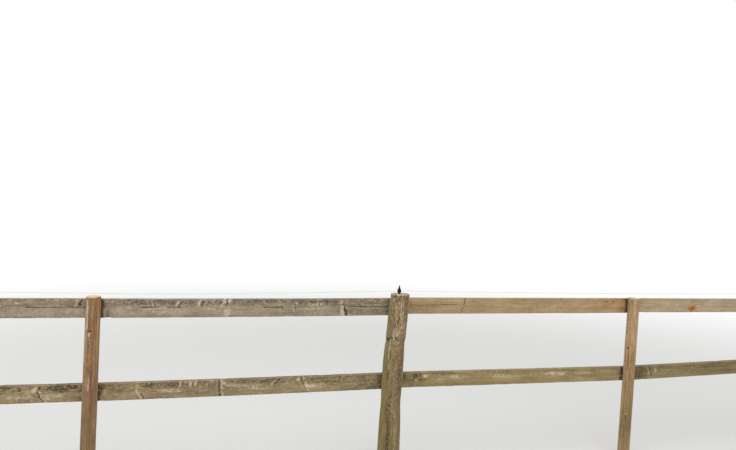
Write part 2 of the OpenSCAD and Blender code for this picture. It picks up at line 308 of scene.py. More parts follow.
def bell(distance, half):
    """1 in the middle, falling to about a third at the half width."""
    return np.exp(-(distance / half) ** 2)


def corner_points(mesh):
    """A mesh's points as rows of x, y and z."""
    points = np.empty(len(mesh.vertices) * 3)
    mesh.vertices.foreach_get("co", points)
    return points.reshape(-1, 3)


# Grown wood: every rail and post is a closed skin of rings, which carries the run of its grain

class Skin:
    """Rings of points, first and last closed to a point, with what the wood shows at each.

    A spot is a point's place on the sound timber, before cracks and wear move it.
    """

    PATCHES = ("grime", "rust", "moss", "bleach", "dim")
    FIELDS = ("ring", "shade", "knot", "crack", "furrow") + PATCHES
    ATTRIBUTES = {
        "marks": ("knot", "crack", "grime"),
        "tints": ("rust", "moss", "bleach"),
        "growth": ("ring", "shade", "furrow"),
    }
    SHARP = math.radians(55)

    def __init__(self, spot):
        self.spot = self.places = self.grain = spot
        for field in self.FIELDS:
            setattr(self, field, np.zeros(spot.shape[:2]))

    def show(self, field, amount):
        """Adds a mark where it is stronger than what is there."""
        setattr(self, field, np.maximum(getattr(self, field), amount))

    def mesh(self, name, cuts):
        """The object; the first and last rings, as many as cuts says, take the sawn material."""
        rows, columns = self.places.shape[:2]
        ids = np.arange(rows * columns).reshape(rows, columns)
        quads = np.stack([
            ids[:-1], np.roll(ids[:-1], -1, 1), np.roll(ids[1:], -1, 1), ids[1:]], -1)
        start, end = rows * columns, rows * columns + 1
        fans = [np.stack([np.roll(ids[0], -1), ids[0], np.full(columns, start)], -1),
                np.stack([ids[-1], np.roll(ids[-1], -1), np.full(columns, end)], -1)]
        mesh = bpy.data.meshes.new(name)
        faces = quads.reshape(-1, 4).tolist() + fans[0].tolist() + fans[1].tolist()
        mesh.from_pydata(self.closed(self.places).tolist(), [], faces)
        row_of = np.repeat(np.arange(rows - 1), columns)
        cut = (row_of < cuts[0]) | (row_of >= rows - 1 - cuts[1])
        slots = np.concatenate([cut, np.ones(2 * columns, bool)]).astype(np.int32)
        mesh.polygons.foreach_set("material_index", slots)
        mesh.polygons.foreach_set("use_smooth", np.ones(len(faces), bool))
        self.store(mesh, "grain", self.grain)
        for key, fields in self.ATTRIBUTES.items():
            self.store(mesh, key, np.stack([getattr(self, field) for field in fields], -1))
        if signed_volume(mesh) < 0:
            mesh.flip_normals()
        mesh.set_sharp_from_angle(angle=self.SHARP)
        return placed(name, mesh)

    @staticmethod
    def closed(values):
        """One vector for each point; the two closing points take their ring's mean."""
        return np.concatenate([
            values.reshape(-1, 3), values[0].mean(0)[None], values[-1].mean(0)[None]])

    @classmethod
    def store(cls, mesh, name, values):
        layer = mesh.attributes.new(name, "FLOAT_VECTOR", "POINT")
        layer.data.foreach_set("vector", cls.closed(values).astype(np.float32).ravel())


def signed_volume(mesh):
    """Six times the volume, below 0 where the faces point inwards."""
    mesh.calc_loop_triangles()
    corners = np.array([t.vertices[:] for t in mesh.loop_triangles])
    a, b, c = (corner_points(mesh)[corners[:, k]] for k in range(3))
    return float(np.einsum("ij,ij->i", a, np.cross(b, c)).sum())


def segment_distance(along, across, ends):
    """Distance from each point to the line between a knot's two ends."""
    a0, b0, a1, b1 = ends
    da, db = a1 - a0, b1 - b0
    length = da * da + db * db + 1e-12
    share = np.clip(((along - a0) * da + (across - b0) * db) / length, 0, 1)
    return np.hypot(along - a0 - share * da, across - b0 - share * db)


def grow_knots(skin, along, across, knots, seed, worn=0.0):
    """Marks the knots, ragged and bent, and returns how far they push the rings aside.

    On worn timber the pale grain that turns round a knot is broader than its dark core. It
    lies left of the knot, or right of it where the first end is the lower one.
    """
    swell = np.zeros(along.shape)
    for number, (*ends, half, dark) in enumerate(knots):
        place = np.stack([along * 55, across * 70, 0 * along + number * 3.7], -1)
        twist = np.stack([along * 90, across * 150, 0 * along + number * 2.9], -1)
        bend = 0.45 * half + 1.2 * MM
        bent = along + bend * (ripple(place, seed) + worn * ripple(twist, seed + 4))
        patchy = 0.8 + 0.35 * ripple(place * 1.4, seed + 2)

        apart = segment_distance(bent, across, ends)
        core = half * (1 - 0.6 * worn) * (0.75 + 0.35 * ripple(place * 2.3, seed + 1))
        skin.show("knot", np.clip(bell(apart, core) * dark * patchy, 0, 1))

        side = 1 if ends[1] >= ends[3] else -1
        flank = segment_distance(bent + side * (1.4 + 0.4 * patchy) * half, across, ends)
        uneven = (0.9 - 0.3 * worn) * ripple(place * 1.9, seed + 3)
        broken = np.clip(0.55 + 0.35 * worn + uneven, 0, 1)
        pale = (0.75 + 0.35 * worn) * dark * broken
        skin.show("bleach", pale * bell(flank, (0.8 + 0.25 * worn) * half))
        other = segment_distance(bent - side * 1.3 * half, across, ends)
        skin.show("bleach", 0.8 * worn * dark * bell(other, 0.6 * half))
        swell += bell(apart, 2.6 * half) * min(12 * MM, 1.6 * half)
    return swell


def lay_patches(skin, looks, along, across, wrap=None):
    """Lays the patches of a piece, stains and the painted shade and rim highlight among them, as
    soft uneven ovals; wrap is the length round a post.
    """
    for kind in Skin.PATCHES:
        for number, (pa, pb, la, lb, strength) in enumerate(looks.get(kind, [])):
            da = along - pa
            if wrap:
                da = (da + 0.5 * wrap) % wrap - 0.5 * wrap
            coarse = np.stack([da / la * 1.7, (across - pb) / lb * 1.7, 0 * da + number], -1)
            fine = np.stack([along * 70, across * 70, 0 * da + number], -1)
            oval = (da / la) ** 2 + ((across - pb) / lb) ** 2
            oval = oval * (1 + 0.5 * ripple(coarse, 17)) + 0.3 * ripple(coarse * 3, 18)
            oval = oval + 0.3 * ripple(fine, 19)
            skin.show(kind, strength * np.exp(-np.maximum(oval, 0) ** 1.3 * 0.8))


class Cracks:
    """Cracks drawn along rows of points; each row is sunk and its neighbours become its lips."""

    CLOSING = 0.15  # share of a crack's length in which it closes at an end
    RUN_IN = 0.06   # length in which the rows come together before a crack
    SPREAD = 9 * MM  # how far aside the other rows give way

    def __init__(self, along, level):
        """along: places of the rings; level: heights of the rows before they are moved."""
        self.along = along
        self.level = level
        self.across = np.tile(level, (len(along), 1))
        self.depth = np.zeros(self.across.shape)
        self.crack = np.zeros(self.across.shape)

    def ramp(self, start, end, reach, outside):
        """1 along the crack, easing to 0 at each end that isn't the end of the timber."""
        along = self.along
        low, high = along[0] + 1e-6, along[-1] - 1e-6
        out = reach if outside else 0
        rise = np.ones_like(along) if start <= low else ease(
            start - out, start - out + reach, along)
        fall = np.ones_like(along) if end >= high else 1 - ease(
            end + out - reach, end + out, along)
        return rise * fall

    def run(self, columns, path):
        start, end, place, slope, deep, half = path
        along, level, across = self.along, self.level, self.across
        wander = 1.2 * MM * np.sin(along * 21 + place * 900) + 0.6 * MM * np.sin(along * 57 + 2)
        centre = place + slope * (along - start) + wander
        open_ = self.ramp(start, end, self.CLOSING * (end - start), False)
        pull = self.ramp(start, end, self.RUN_IN, True)
        middle = place + slope * (end - start) / 2
        nearest = columns[np.argmin(np.abs(level[columns] - middle))]
        shift = (centre - level[nearest]) * pull
        spread = bell(level[columns] - level[nearest], self.SPREAD)
        across[:, columns] += shift[:, None] * spread[None]
        broad = 0.7 + 0.5 * np.abs(np.sin(along * 39 + place * 300))
        way = np.sign(level[nearest + 1] - level[nearest])
        for side in (-1, 1):
            lip = nearest + side
            rim = across[:, nearest] + side * way * half * broad
            across[:, lip] = across[:, lip] * (1 - pull) + rim * pull
            self.crack[:, lip] = np.maximum(self.crack[:, lip], 0.35 * open_)
        ragged = 0.8 + 0.2 * np.sin(along * 133 + place * 50)
        self.depth[:, nearest] = np.maximum(self.depth[:, nearest], deep * open_ * ragged)
        self.crack[:, nearest] = np.maximum(self.crack[:, nearest], open_)


# Rails

# What each rail shows, as the camera side sees it. Along is counted from the rail's left end
# and height from its lower edge, in metres.
# Knots: along and height of one end, of the other end, half width, darkness
# Cracks: from, to, height, slope, depth, half width
# Patches: along, height, half length, half height, strength. Grime darkens the wood, and where it
# lies along a ledge it is painted shade;
# rust stains it, moss greens it, bleach pales it, on a post's edges it is also a painted rim
# highlight, and dim darkens it evenly
RAILS = {
    "top_rail_1": {
        "knots": [
            (1.716, 0.101, 1.703, 0.07, 0.011, 1.0), (1.58, 0.04, 1.583, 0.026, 0.003, 0.7),
            (1.392, 0.083, 1.412, 0.08, 0.006, 0.7), (0.96, 0.08, 0.95, 0.02, 0.008, 0.9),
            (0.52, 0.1, 0.535, 0.06, 0.009, 0.9), (0.18, 0.07, 0.175, 0.05, 0.007, 0.8)],
        "cracks": [
            (1.4, 1.785, 0.061, 0.0, 0.006, 0.002), (0.85, 1.36, 0.06, 0.0, 0.004, 0.0014),
            (0.02, 0.42, 0.045, 0.006, 0.006, 0.001)],
        "grime": [(1.15, 0.105, 0.75, 0.016, 0.55), (0.4, 0.1, 0.45, 0.035, 0.8)],
        "bleach": [(1.62, 0.028, 0.14, 0.022, 0.5), (1.4, 0.03, 0.25, 0.022, 0.45)],
    },
    "top_rail_2": {
        "knots": [
            (0.312, 0.09, 0.318, 0.066, 0.006, 0.9), (0.462, 0.094, 0.447, 0.068, 0.008, 1.0),
            (0.585, 0.097, 0.578, 0.068, 0.011, 1.0), (0.727, 0.104, 0.716, 0.074, 0.012, 1.0),
            (1.128, 0.085, 1.13, 0.036, 0.005, 1.0), (1.278, 0.088, 1.281, 0.068, 0.007, 0.9),
            (1.43, 0.09, 1.436, 0.062, 0.009, 1.0), (1.437, 0.058, 1.455, 0.004, 0.011, 1.0),
            (0.9, 0.085, 0.905, 0.066, 0.005, 0.6)],
        "cracks": [
            (0.235, 0.355, 0.062, 0.01, 0.006, 0.0022),
            (0.375, 0.47, 0.061, -0.012, 0.007, 0.0029),
            (0.925, 1.07, 0.0585, 0.008, 0.007, 0.0025), (1.47, 1.76, 0.057, 0.0, 0.005, 0.0018)],
        "grime": [
            (0.3, 0.088, 0.26, 0.02, 0.75), (0.66, 0.092, 0.14, 0.022, 0.85),
            (0.95, 0.098, 0.22, 0.018, 0.75), (1.28, 0.09, 0.16, 0.022, 0.8),
            (1.58, 0.092, 0.17, 0.02, 0.4), (1.56, 0.03, 0.22, 0.03, 0.35)],
        "dim": [(1.58, 0.03, 0.24, 0.034, 0.13)],
        "bleach": [
            (0.735, 0.096, 0.018, 0.012, 0.9), (0.722, 0.034, 0.026, 0.03, 0.8),
            (0.69, 0.058, 0.03, 0.01, 0.6), (0.77, 0.06, 0.05, 0.01, 0.5),
            (0.56, 0.084, 0.008, 0.014, 0.9), (0.44, 0.084, 0.008, 0.014, 0.9),
            (1.136, 0.08, 0.007, 0.008, 1.0), (1.288, 0.074, 0.008, 0.008, 1.0),
            (1.424, 0.03, 0.013, 0.03, 1.0), (0.3, 0.04, 0.26, 0.026, 0.55),
            (0.62, 0.036, 0.1, 0.026, 0.5), (0.88, 0.05, 0.12, 0.016, 0.45),
            (1.22, 0.048, 0.14, 0.014, 0.45)],
    },
    "top_rail_3": {
        "knots": [
            (0.474, 0.103, 0.466, 0.072, 0.013, 0.72), (0.462, 0.064, 0.44, 0.006, 0.008, 0.75),
            (1.18, 0.102, 1.177, 0.082, 0.01, 0.72), (1.168, 0.07, 1.146, 0.008, 0.004, 0.6),
            (1.31, 0.01, 1.33, 0.04, 0.004, 0.55), (1.33, 0.04, 1.362, 0.062, 0.004, 0.5),
            (1.37, 0.06, 1.362, 0.03, 0.004, 0.45), (1.12, 0.044, 1.15, 0.03, 0.003, 0.45),
            (0.59, 0.068, 0.594, 0.064, 0.006, 0.35), (0.93, 0.06, 0.934, 0.056, 0.005, 0.3)],
        "cracks": [(0.05, 0.45, 0.0565, 0.008, 0.004, 0.0018)],
        "grime": [(1.685, 0.05, 0.035, 0.06, 0.55)],
        "rust": [
            (1.545, 0.081, 0.014, 0.006, 1.6), (1.602, 0.081, 0.013, 0.006, 1.5),
            (1.536, 0.052, 0.011, 0.02, 0.5), (1.65, 0.046, 0.05, 0.05, 0.25)],
        "bleach": [(0.63, 0.055, 0.03, 0.012, 0.5), (0.3, 0.04, 0.14, 0.012, 0.3)],
    },
    "top_rail_4": {
        "knots": [
            (0.205, 0.034, 0.212, 0.024, 0.006, 0.35), (0.391, 0.034, 0.393, 0.031, 0.006, 0.6),
            (0.64, 0.07, 0.646, 0.02, 0.003, 0.3), (1.06, 0.09, 1.075, 0.02, 0.007, 0.6),
            (1.42, 0.06, 1.425, 0.054, 0.008, 0.6)],
        "cracks": [(0.7, 1.2, 0.048, 0.0, 0.003, 0.0007), (1.3, 1.7, 0.06, 0.0, 0.004, 0.0008)],
        "rust": [(0.523, 0.026, 0.03, 0.017, 1.5)],
        "bleach": [(0.575, 0.05, 0.01, 0.01, 0.9), (0.3, 0.05, 0.1, 0.02, 0.3)],
        "grime": [(1.0, 0.095, 0.5, 0.01, 0.4)],
    },
    "low_rail_1": {
        "knots": [
            (1.516, 0.092, 1.505, 0.068, 0.012, 1.0), (1.533, 0.004, 1.5, 0.06, 0.008, 1.0),
            (1.414, 0.058, 1.418, 0.006, 0.009, 0.6), (1.492, 0.024, 1.498, 0.006, 0.01, 0.6),
            (0.9, 0.09, 0.915, 0.01, 0.009, 0.9), (0.43, 0.06, 0.434, 0.05, 0.01, 0.8)],
        "cracks": [
            (1.585, 1.745, 0.06, 0.0, 0.006, 0.0012), (1.1, 1.38, 0.056, 0.0, 0.004, 0.0009),
            (0.03, 0.5, 0.04, 0.004, 0.005, 0.0009)],
        "grime": [
            (1.63, 0.084, 0.11, 0.026, 1.0), (1.33, 0.076, 0.13, 0.022, 0.7),
            (1.45, 0.088, 0.05, 0.01, 0.5), (0.5, 0.08, 0.5, 0.022, 0.7)],
        "bleach": [
            (1.488, 0.074, 0.017, 0.012, 1.0), (1.57, 0.036, 0.07, 0.022, 0.7),
            (1.38, 0.04, 0.05, 0.018, 0.6), (1.46, 0.04, 0.03, 0.018, 0.7)],
        "moss": [(1.507, 0.088, 0.006, 0.016, 0.8)],
    },
    "low_rail_2": {
        "knots": [
            (0.163, 0.076, 0.165, 0.064, 0.006, 0.9), (0.236, 0.088, 0.246, 0.05, 0.006, 0.7),
            (0.262, 0.034, 0.276, 0.004, 0.009, 1.0), (0.488, 0.092, 0.48, 0.066, 0.008, 0.9),
            (0.548, 0.09, 0.538, 0.066, 0.006, 0.9), (0.64, 0.08, 0.636, 0.062, 0.006, 0.8),
            (0.7, 0.004, 0.692, 0.094, 0.009, 1.0), (1.048, 0.09, 1.02, 0.062, 0.008, 1.0),
            (1.196, 0.06, 1.186, 0.093, 0.011, 1.0), (1.212, 0.093, 1.206, 0.066, 0.004, 0.9),
            (1.224, 0.004, 1.198, 0.056, 0.007, 0.9), (1.536, 0.086, 1.536, 0.072, 0.006, 0.8),
            (1.64, 0.06, 1.642, 0.05, 0.005, 0.8)],
        "cracks": [
            (0.3, 0.46, 0.046, 0.0, 0.004, 0.0009), (1.24, 1.42, 0.062, 0.0, 0.004, 0.0009),
            (0.8, 1.0, 0.05, 0.0, 0.003, 0.0008)],
        "grime": [
            (0.06, 0.086, 0.1, 0.018, 0.6), (0.305, 0.084, 0.05, 0.014, 0.8),
            (0.445, 0.08, 0.06, 0.02, 0.75), (0.585, 0.09, 0.06, 0.01, 0.7),
            (0.97, 0.086, 0.11, 0.014, 0.65), (1.3, 0.086, 0.09, 0.01, 0.5),
            (1.62, 0.088, 0.1, 0.01, 0.5), (1.64, 0.024, 0.12, 0.022, 0.3),
            (0.86, 0.088, 0.1, 0.012, 0.5)],
        "bleach": [
            (0.236, 0.06, 0.01, 0.03, 0.7), (0.478, 0.08, 0.006, 0.016, 1.0),
            (0.532, 0.078, 0.007, 0.016, 1.0), (0.56, 0.08, 0.006, 0.014, 0.9),
            (0.722, 0.08, 0.018, 0.012, 1.0), (0.42, 0.046, 0.08, 0.014, 0.8),
            (0.78, 0.066, 0.06, 0.012, 0.7), (1.25, 0.04, 0.06, 0.016, 0.8),
            (1.166, 0.084, 0.01, 0.01, 0.9), (0.9, 0.05, 0.12, 0.02, 0.6),
            (0.2, 0.03, 0.06, 0.02, 0.5), (0.6, 0.046, 0.05, 0.016, 0.6),
            (1.1, 0.058, 0.05, 0.016, 0.6), (1.46, 0.046, 0.08, 0.014, 0.45)],
        "dim": [(1.54, 0.024, 0.2, 0.032, 0.14)],
    },
    "low_rail_3": {
        "knots": [
            (0.168, 0.086, 0.186, 0.068, 0.021, 0.62), (0.15, 0.078, 0.16, 0.056, 0.008, 0.8),
            (0.196, 0.088, 0.204, 0.06, 0.007, 0.8), (0.206, 0.046, 0.188, 0.022, 0.006, 0.75),
            (0.188, 0.022, 0.16, 0.006, 0.006, 0.7), (0.118, 0.074, 0.132, 0.06, 0.009, 0.6),
            (1.078, 0.092, 1.092, 0.068, 0.004, 0.7), (1.112, 0.088, 1.096, 0.07, 0.004, 0.7),
            (1.094, 0.066, 1.09, 0.012, 0.005, 0.8), (0.7, 0.085, 0.706, 0.072, 0.005, 0.5),
            (1.52, 0.09, 1.524, 0.06, 0.005, 0.5)],
        "cracks": [
            (0.01, 0.28, 0.05, 0.0, 0.006, 0.0012), (1.15, 1.55, 0.04, 0.0, 0.003, 0.0008)],
        "grime": [
            (0.06, 0.07, 0.09, 0.026, 1.0), (0.34, 0.086, 0.12, 0.014, 0.8),
            (0.17, 0.072, 0.055, 0.03, 1.1), (0.16, 0.016, 0.05, 0.012, 0.6),
            (0.72, 0.088, 0.16, 0.01, 0.6), (1.3, 0.088, 0.4, 0.01, 0.5),
            (0.44, 0.018, 0.2, 0.012, 0.35), (0.6, 0.05, 0.05, 0.02, 0.3),
            (0.98, 0.046, 0.06, 0.016, 0.3), (1.44, 0.04, 0.12, 0.02, 0.3)],
        "moss": [(0.09, 0.06, 0.14, 0.05, 0.8), (0.85, 0.05, 0.9, 0.06, 0.3)],
        "bleach": [
            (0.245, 0.072, 0.035, 0.012, 0.9), (0.176, 0.046, 0.014, 0.008, 1.0),
            (0.46, 0.062, 0.1, 0.016, 0.65), (0.34, 0.05, 0.06, 0.014, 0.5),
            (0.8, 0.058, 0.12, 0.016, 0.6), (1.2, 0.062, 0.1, 0.018, 0.75),
            (1.02, 0.066, 0.04, 0.012, 0.5), (1.4, 0.064, 0.1, 0.012, 0.5)],
    },
    "low_rail_4": {
        "knots": [
            (0.186, 0.09, 0.214, 0.024, 0.01, 0.9), (0.505, 0.09, 0.507, 0.07, 0.006, 0.7),
            (0.576, 0.09, 0.578, 0.066, 0.006, 0.7), (0.425, 0.07, 0.43, 0.01, 0.008, 0.4),
            (0.808, 0.092, 0.812, 0.066, 0.004, 0.9), (1.2, 0.08, 1.215, 0.02, 0.009, 0.7)],
        "cracks": [
            (0.585, 0.935, 0.064, -0.004, 0.008, 0.0016), (1.1, 1.6, 0.05, 0.0, 0.004, 0.0009)],
        "grime": [
            (0.1, 0.05, 0.08, 0.06, 0.75), (0.6, 0.088, 0.12, 0.008, 0.5),
            (0.7, 0.03, 0.3, 0.016, 0.4), (0.8, 0.084, 0.2, 0.01, 0.6)],
        "moss": [(0.09, 0.05, 0.1, 0.06, 1.0), (0.7, 0.05, 0.8, 0.06, 0.3)],
        "bleach": [(0.245, 0.06, 0.014, 0.03, 0.8), (0.33, 0.05, 0.06, 0.02, 0.5)],
    },
}
# Timber, shade, mould on the upper half, and the damp dirt and painted crevice shade beside the
# left and the right post
RAIL_STATE = {
    "top_rail_1": ("grey", 1.01, 0.24, 0.5, 0.4), "top_rail_2": ("grey", 1.00, 0.38, 1.0, 0.3),
    "top_rail_3": ("tan", 1.00, 0.00, 0.3, 1.0), "top_rail_4": ("pale", 1.00, 0.00, 0.3, 0.4),
    "low_rail_1": ("dun", 0.95, 0.42, 0.5, 0.5), "low_rail_2": ("dun", 0.96, 0.38, 0.6, 0.4),
    "low_rail_3": ("damp", 0.98, 0.12, 0.8, 0.8), "low_rail_4": ("damp", 0.82, 0.20, 0.9, 0.5),
}
RAIL_NAMES = list(RAILS)
OLD_RAILS = ("grey", "dun")
# How much of the dark core the weather has taken out of a timber's knots
WORN_KNOTS = {"grey": 0.55, "dun": 0.55, "damp": 0.2}
ROTTEN_CORNER = "top_rail_2"
BAYS = 4

ARRIS = 2.5 * MM  # worn long corner of a sawn board
FACE_POINTS, BACK_POINTS, EDGE_POINTS = 34, 26, 9
END_SLICE = 6 * MM  # depth of a rail's end in which its height is read
END_LOOPS = 5
END_FRAY = 1.2 * MM
SEATED = 30 * MM  # end of a rail that bears on a post, and stays sound
SEAT_WEAR = 0.3 * MM
OUTER_INSET, INNER_INSET = 30 * MM, 22 * MM  # nails from a fence's end, and where rails meet
NAIL_LEVELS = (0.27, 0.74)
NAIL_SCATTER = 6 * MM
NAIL_DENT = 7 * MM  # radius of the hollow round a nail
NAIL_SINK = 2.4 * MM


class RailForm:
    """Ends, size and state of a rail, read from the construction model and its table."""

    def __init__(self, node):
        points = corner_points(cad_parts[node].data)
        self.node = node
        self.number = int(node[-1])
        self.seed = RAIL_NAMES.index(node) + 3
        self.timber, self.shade, self.mould, *self.crevice_shade_and_dirt = RAIL_STATE[node]
        self.low, self.high = points.min(0), points.max(0)
        self.ends = []
        for x in (self.low[0], self.high[0]):
            near = points[np.abs(points[:, 0] - x) < END_SLICE]
            self.ends.append((near[:, 2].min(), near[:, 2].max()))
        (left_foot, left_top), (right_foot, right_top) = self.ends
        self.length, self.thick = (self.high - self.low)[:2]
        self.height = min(left_top - left_foot, right_top - right_foot)
        self.foot = left_foot
        self.slope = (right_foot - left_foot) / self.length

    def outline(self):
        """Points round the section: front, top, back and underside, with worn corners."""
        height, thick = self.height, self.thick
        corner = ARRIS * (1 - math.sqrt(0.5))
        front = [(0.0, z) for z in np.linspace(ARRIS, height - ARRIS, FACE_POINTS)]
        top = [(corner, height - corner)] + [
            (y, height) for y in np.linspace(ARRIS, thick - ARRIS, EDGE_POINTS)] + [
            (thick - corner, height - corner)]
        back = [(thick, z) for z in np.linspace(height - ARRIS, ARRIS, BACK_POINTS)]
        under = [(thick - corner, corner)] + [
            (y, 0.0) for y in np.linspace(thick - ARRIS, ARRIS, EDGE_POINTS)] + [(corner, corner)]
        return np.array(front + top + back + under)

    def faces(self):
        """Columns of the front and of the back that a crack may use."""
        back = FACE_POINTS + EDGE_POINTS + 2
        return np.arange(1, FACE_POINTS - 1), np.arange(back + 1, back + BACK_POINTS - 1)

    def rows(self, knots, step, fine):
        """Places of the rings along the rail, closer together beside knots and ends."""
        length = self.length
        places = list(np.arange(0, length, step)) + [length]
        for a0, _, a1, _, half, _ in knots:
            middle, reach = (a0 + a1) / 2, abs(a0 - a1) / 2 + 2 * half
            low, high = middle - reach - fine, middle + reach + fine
            places = [p for p in places if not low < p < high]
            places += list(np.arange(low, high, fine))
        for end in (0.0, length):
            near = (1.5 * MM, 4 * MM, 8 * MM, *np.arange(12.5 * MM, 42 * MM, 2.2 * MM))
            places += [abs(end - d) for d in near]
        places = np.array(sorted(p for p in places if 0 <= p <= length))
        places = places[np.concatenate([[True], np.diff(places) > 1.1 * MM])]
        places[-1] = length
        return places

    def nails(self):
        """Where the nails sit on the back face, two at each end."""
        places = []
        for side, (bottom, top) in enumerate(self.ends):
            outer = self.number == (BAYS if side else 1)
            inset = OUTER_INSET if outer else INNER_INSET
            x = self.high[0] - inset if side else self.low[0] + inset
            for level in NAIL_LEVELS:
                shift = NAIL_SCATTER * math.sin(37 * x + 9 * level)
                places.append((x + shift, self.high[1], bottom + (top - bottom) * level + shift))
        return places


def rail_cracks(form, along, outline, paths):
    """The cracks that the camera side shows, and likely ones on the back and at the ends."""
    cracks = Cracks(along, outline[:, 1])
    front, back = form.faces()
    length, height, seed = form.length, form.height, form.seed
    for path in paths:
        cracks.run(front, path)
    for k in range(3):
        start = (0.08 + 0.3 * k + 0.11 * ((seed * 7 + k * 3) % 5) / 5) * length
        level = height * (0.3 + 0.2 * ((seed + k) % 3))
        cracks.run(back, (start, start + 0.22 * length, level, 0.0, 5 * MM, 1 * MM))
    for face in (front, back):
        left_tip = 0.07 + 0.01 * (seed % 4)
        right_tip = length - 0.06 - 0.01 * (seed % 3)
        cracks.run(face, (0.0, left_tip, height * 0.72, 0.03, 6 * MM, 1 * MM))
        cracks.run(face, (right_tip, length, height * 0.22, -0.02, 6 * MM, 1 * MM))
    return cracks


def stain_rail(skin, form, looks, corner):
    """Mould on the upper half and under the top edge, the table's patches, pale corners."""
    spot, seed, mould = skin.spot, form.seed, form.mould
    a, y, z = (spot[..., k] for k in range(3))
    share = z / form.height
    patchy = ripple(spot * [4, 0, 0], seed + 60)
    lobes = 0.09 * ripple(spot * [13, 0, 0], seed + 61)
    lobes = lobes + 0.07 * ripple(spot * [42, 0, 34], seed + 65)
    upper = ease(0.42, 0.66, share + lobes)
    skin.grime = mould * upper * (1 + 0.45 * patchy) + 0.3 * mould * ease(0.06, 0.0, share)
    under_edge = bell(form.height - z - 6 * MM, 3.5 * MM) * (y < 1 * MM)
    streaky = np.clip(0.7 + 0.8 * ripple(spot * [17, 0, 0], seed + 66), 0, 1)
    skin.show("grime", 2.2 * mould * under_edge * streaky)
    lay_patches(skin, looks, a, z)
    uneven = 0.05 * ripple(spot * [2.3, 0, 0], seed + 62)
    uneven = 1 + uneven + 0.04 * ripple(spot * [11, 0, 8], seed + 63)
    skin.shade = form.shade * (1 - skin.dim) * uneven
    skin.show("bleach", 0.7 * bell(corner, 2.2 * MM))


def rail_wear(skin, form, corner, wear):
    """How deep each point has worn: long waves, small hollows and chipped long edges."""
    spot, seed = skin.spot, form.seed
    waves = ripple(spot * [5, 20, 26], seed) * 0.5
    waves = waves + ripple(spot * [24, 90, 110], seed + 40) * 0.5
    chips = np.clip(ripple(spot * [22, 60, 60], seed + 80) - 0.35, 0, 1)
    worn = wear * (0.35 + 0.35 * waves) + 4 * MM * chips * bell(corner, 5 * MM)
    return worn * (1 - 0.7 * skin.knot)


def dent_nails(skin, form):
    """Sinks the wood round each nail and lets rust run down from it."""
    a, y, z = (skin.spot[..., k] for k in range(3))
    behind = y > form.thick - 1 * MM
    depth = np.zeros(a.shape)
    for nail_x, _, nail_z in form.nails():
        away_x = a + form.low[0] - nail_x
        away_z = z + form.foot + form.slope * a - nail_z
        reach = np.hypot(away_x, away_z)
        depth += behind * NAIL_SINK * np.exp(-(reach / NAIL_DENT) ** 4)
        ring_mark = 0.55 * bell(reach - NAIL_DENT, 5 * MM)
        tear = 0.5 * bell(away_x, 4 * MM)
        tear = tear * ease(4 * MM, -4 * MM, away_z) * ease(-50 * MM, -10 * MM, away_z)
        skin.show("rust", behind * np.maximum(ring_mark, tear))
    return depth


def rot_corner(skin, form):
    """The lower left corner of a board, rotted away on its camera side."""
    a, y, z = (skin.spot[..., k] for k in range(3))
    rot = bell(a - 0.050 - 0.30 * (0.06 - z), 13 * MM)
    rot = rot * (y < 0.6 * form.thick) * ease(0.11, 0.05, z)
    skin.show("grime", 0.7 * rot)
    return 8 * MM * rot


def shade_and_dirt_beside_posts(skin, form, x, z):
    """Damp dirt and painted shade of the crevice where the rail runs behind its two posts."""
    for side, number, crevice_shade_and_dirt in zip((1, -1), (form.number - 1, form.number), form.crevice_shade_and_dirt):
        post = PostForm(POST_NAMES[number])
        gap = side * (x - post.axis(z)) - post.radius(z)
        width = 12 * MM * (1 + 0.5 * ripple(skin.spot * [0, 0, 28], form.seed + 64))
        # Painted shade: the band beside each post, on the camera half of the rail, darkens the
        # crevice along with the damp dirt
        stain_and_shade = 1.6 * crevice_shade_and_dirt * bell(np.maximum(gap, 0), width)
        skin.show("grime", stain_and_shade * (skin.spot[..., 1] < 0.6 * form.thick))


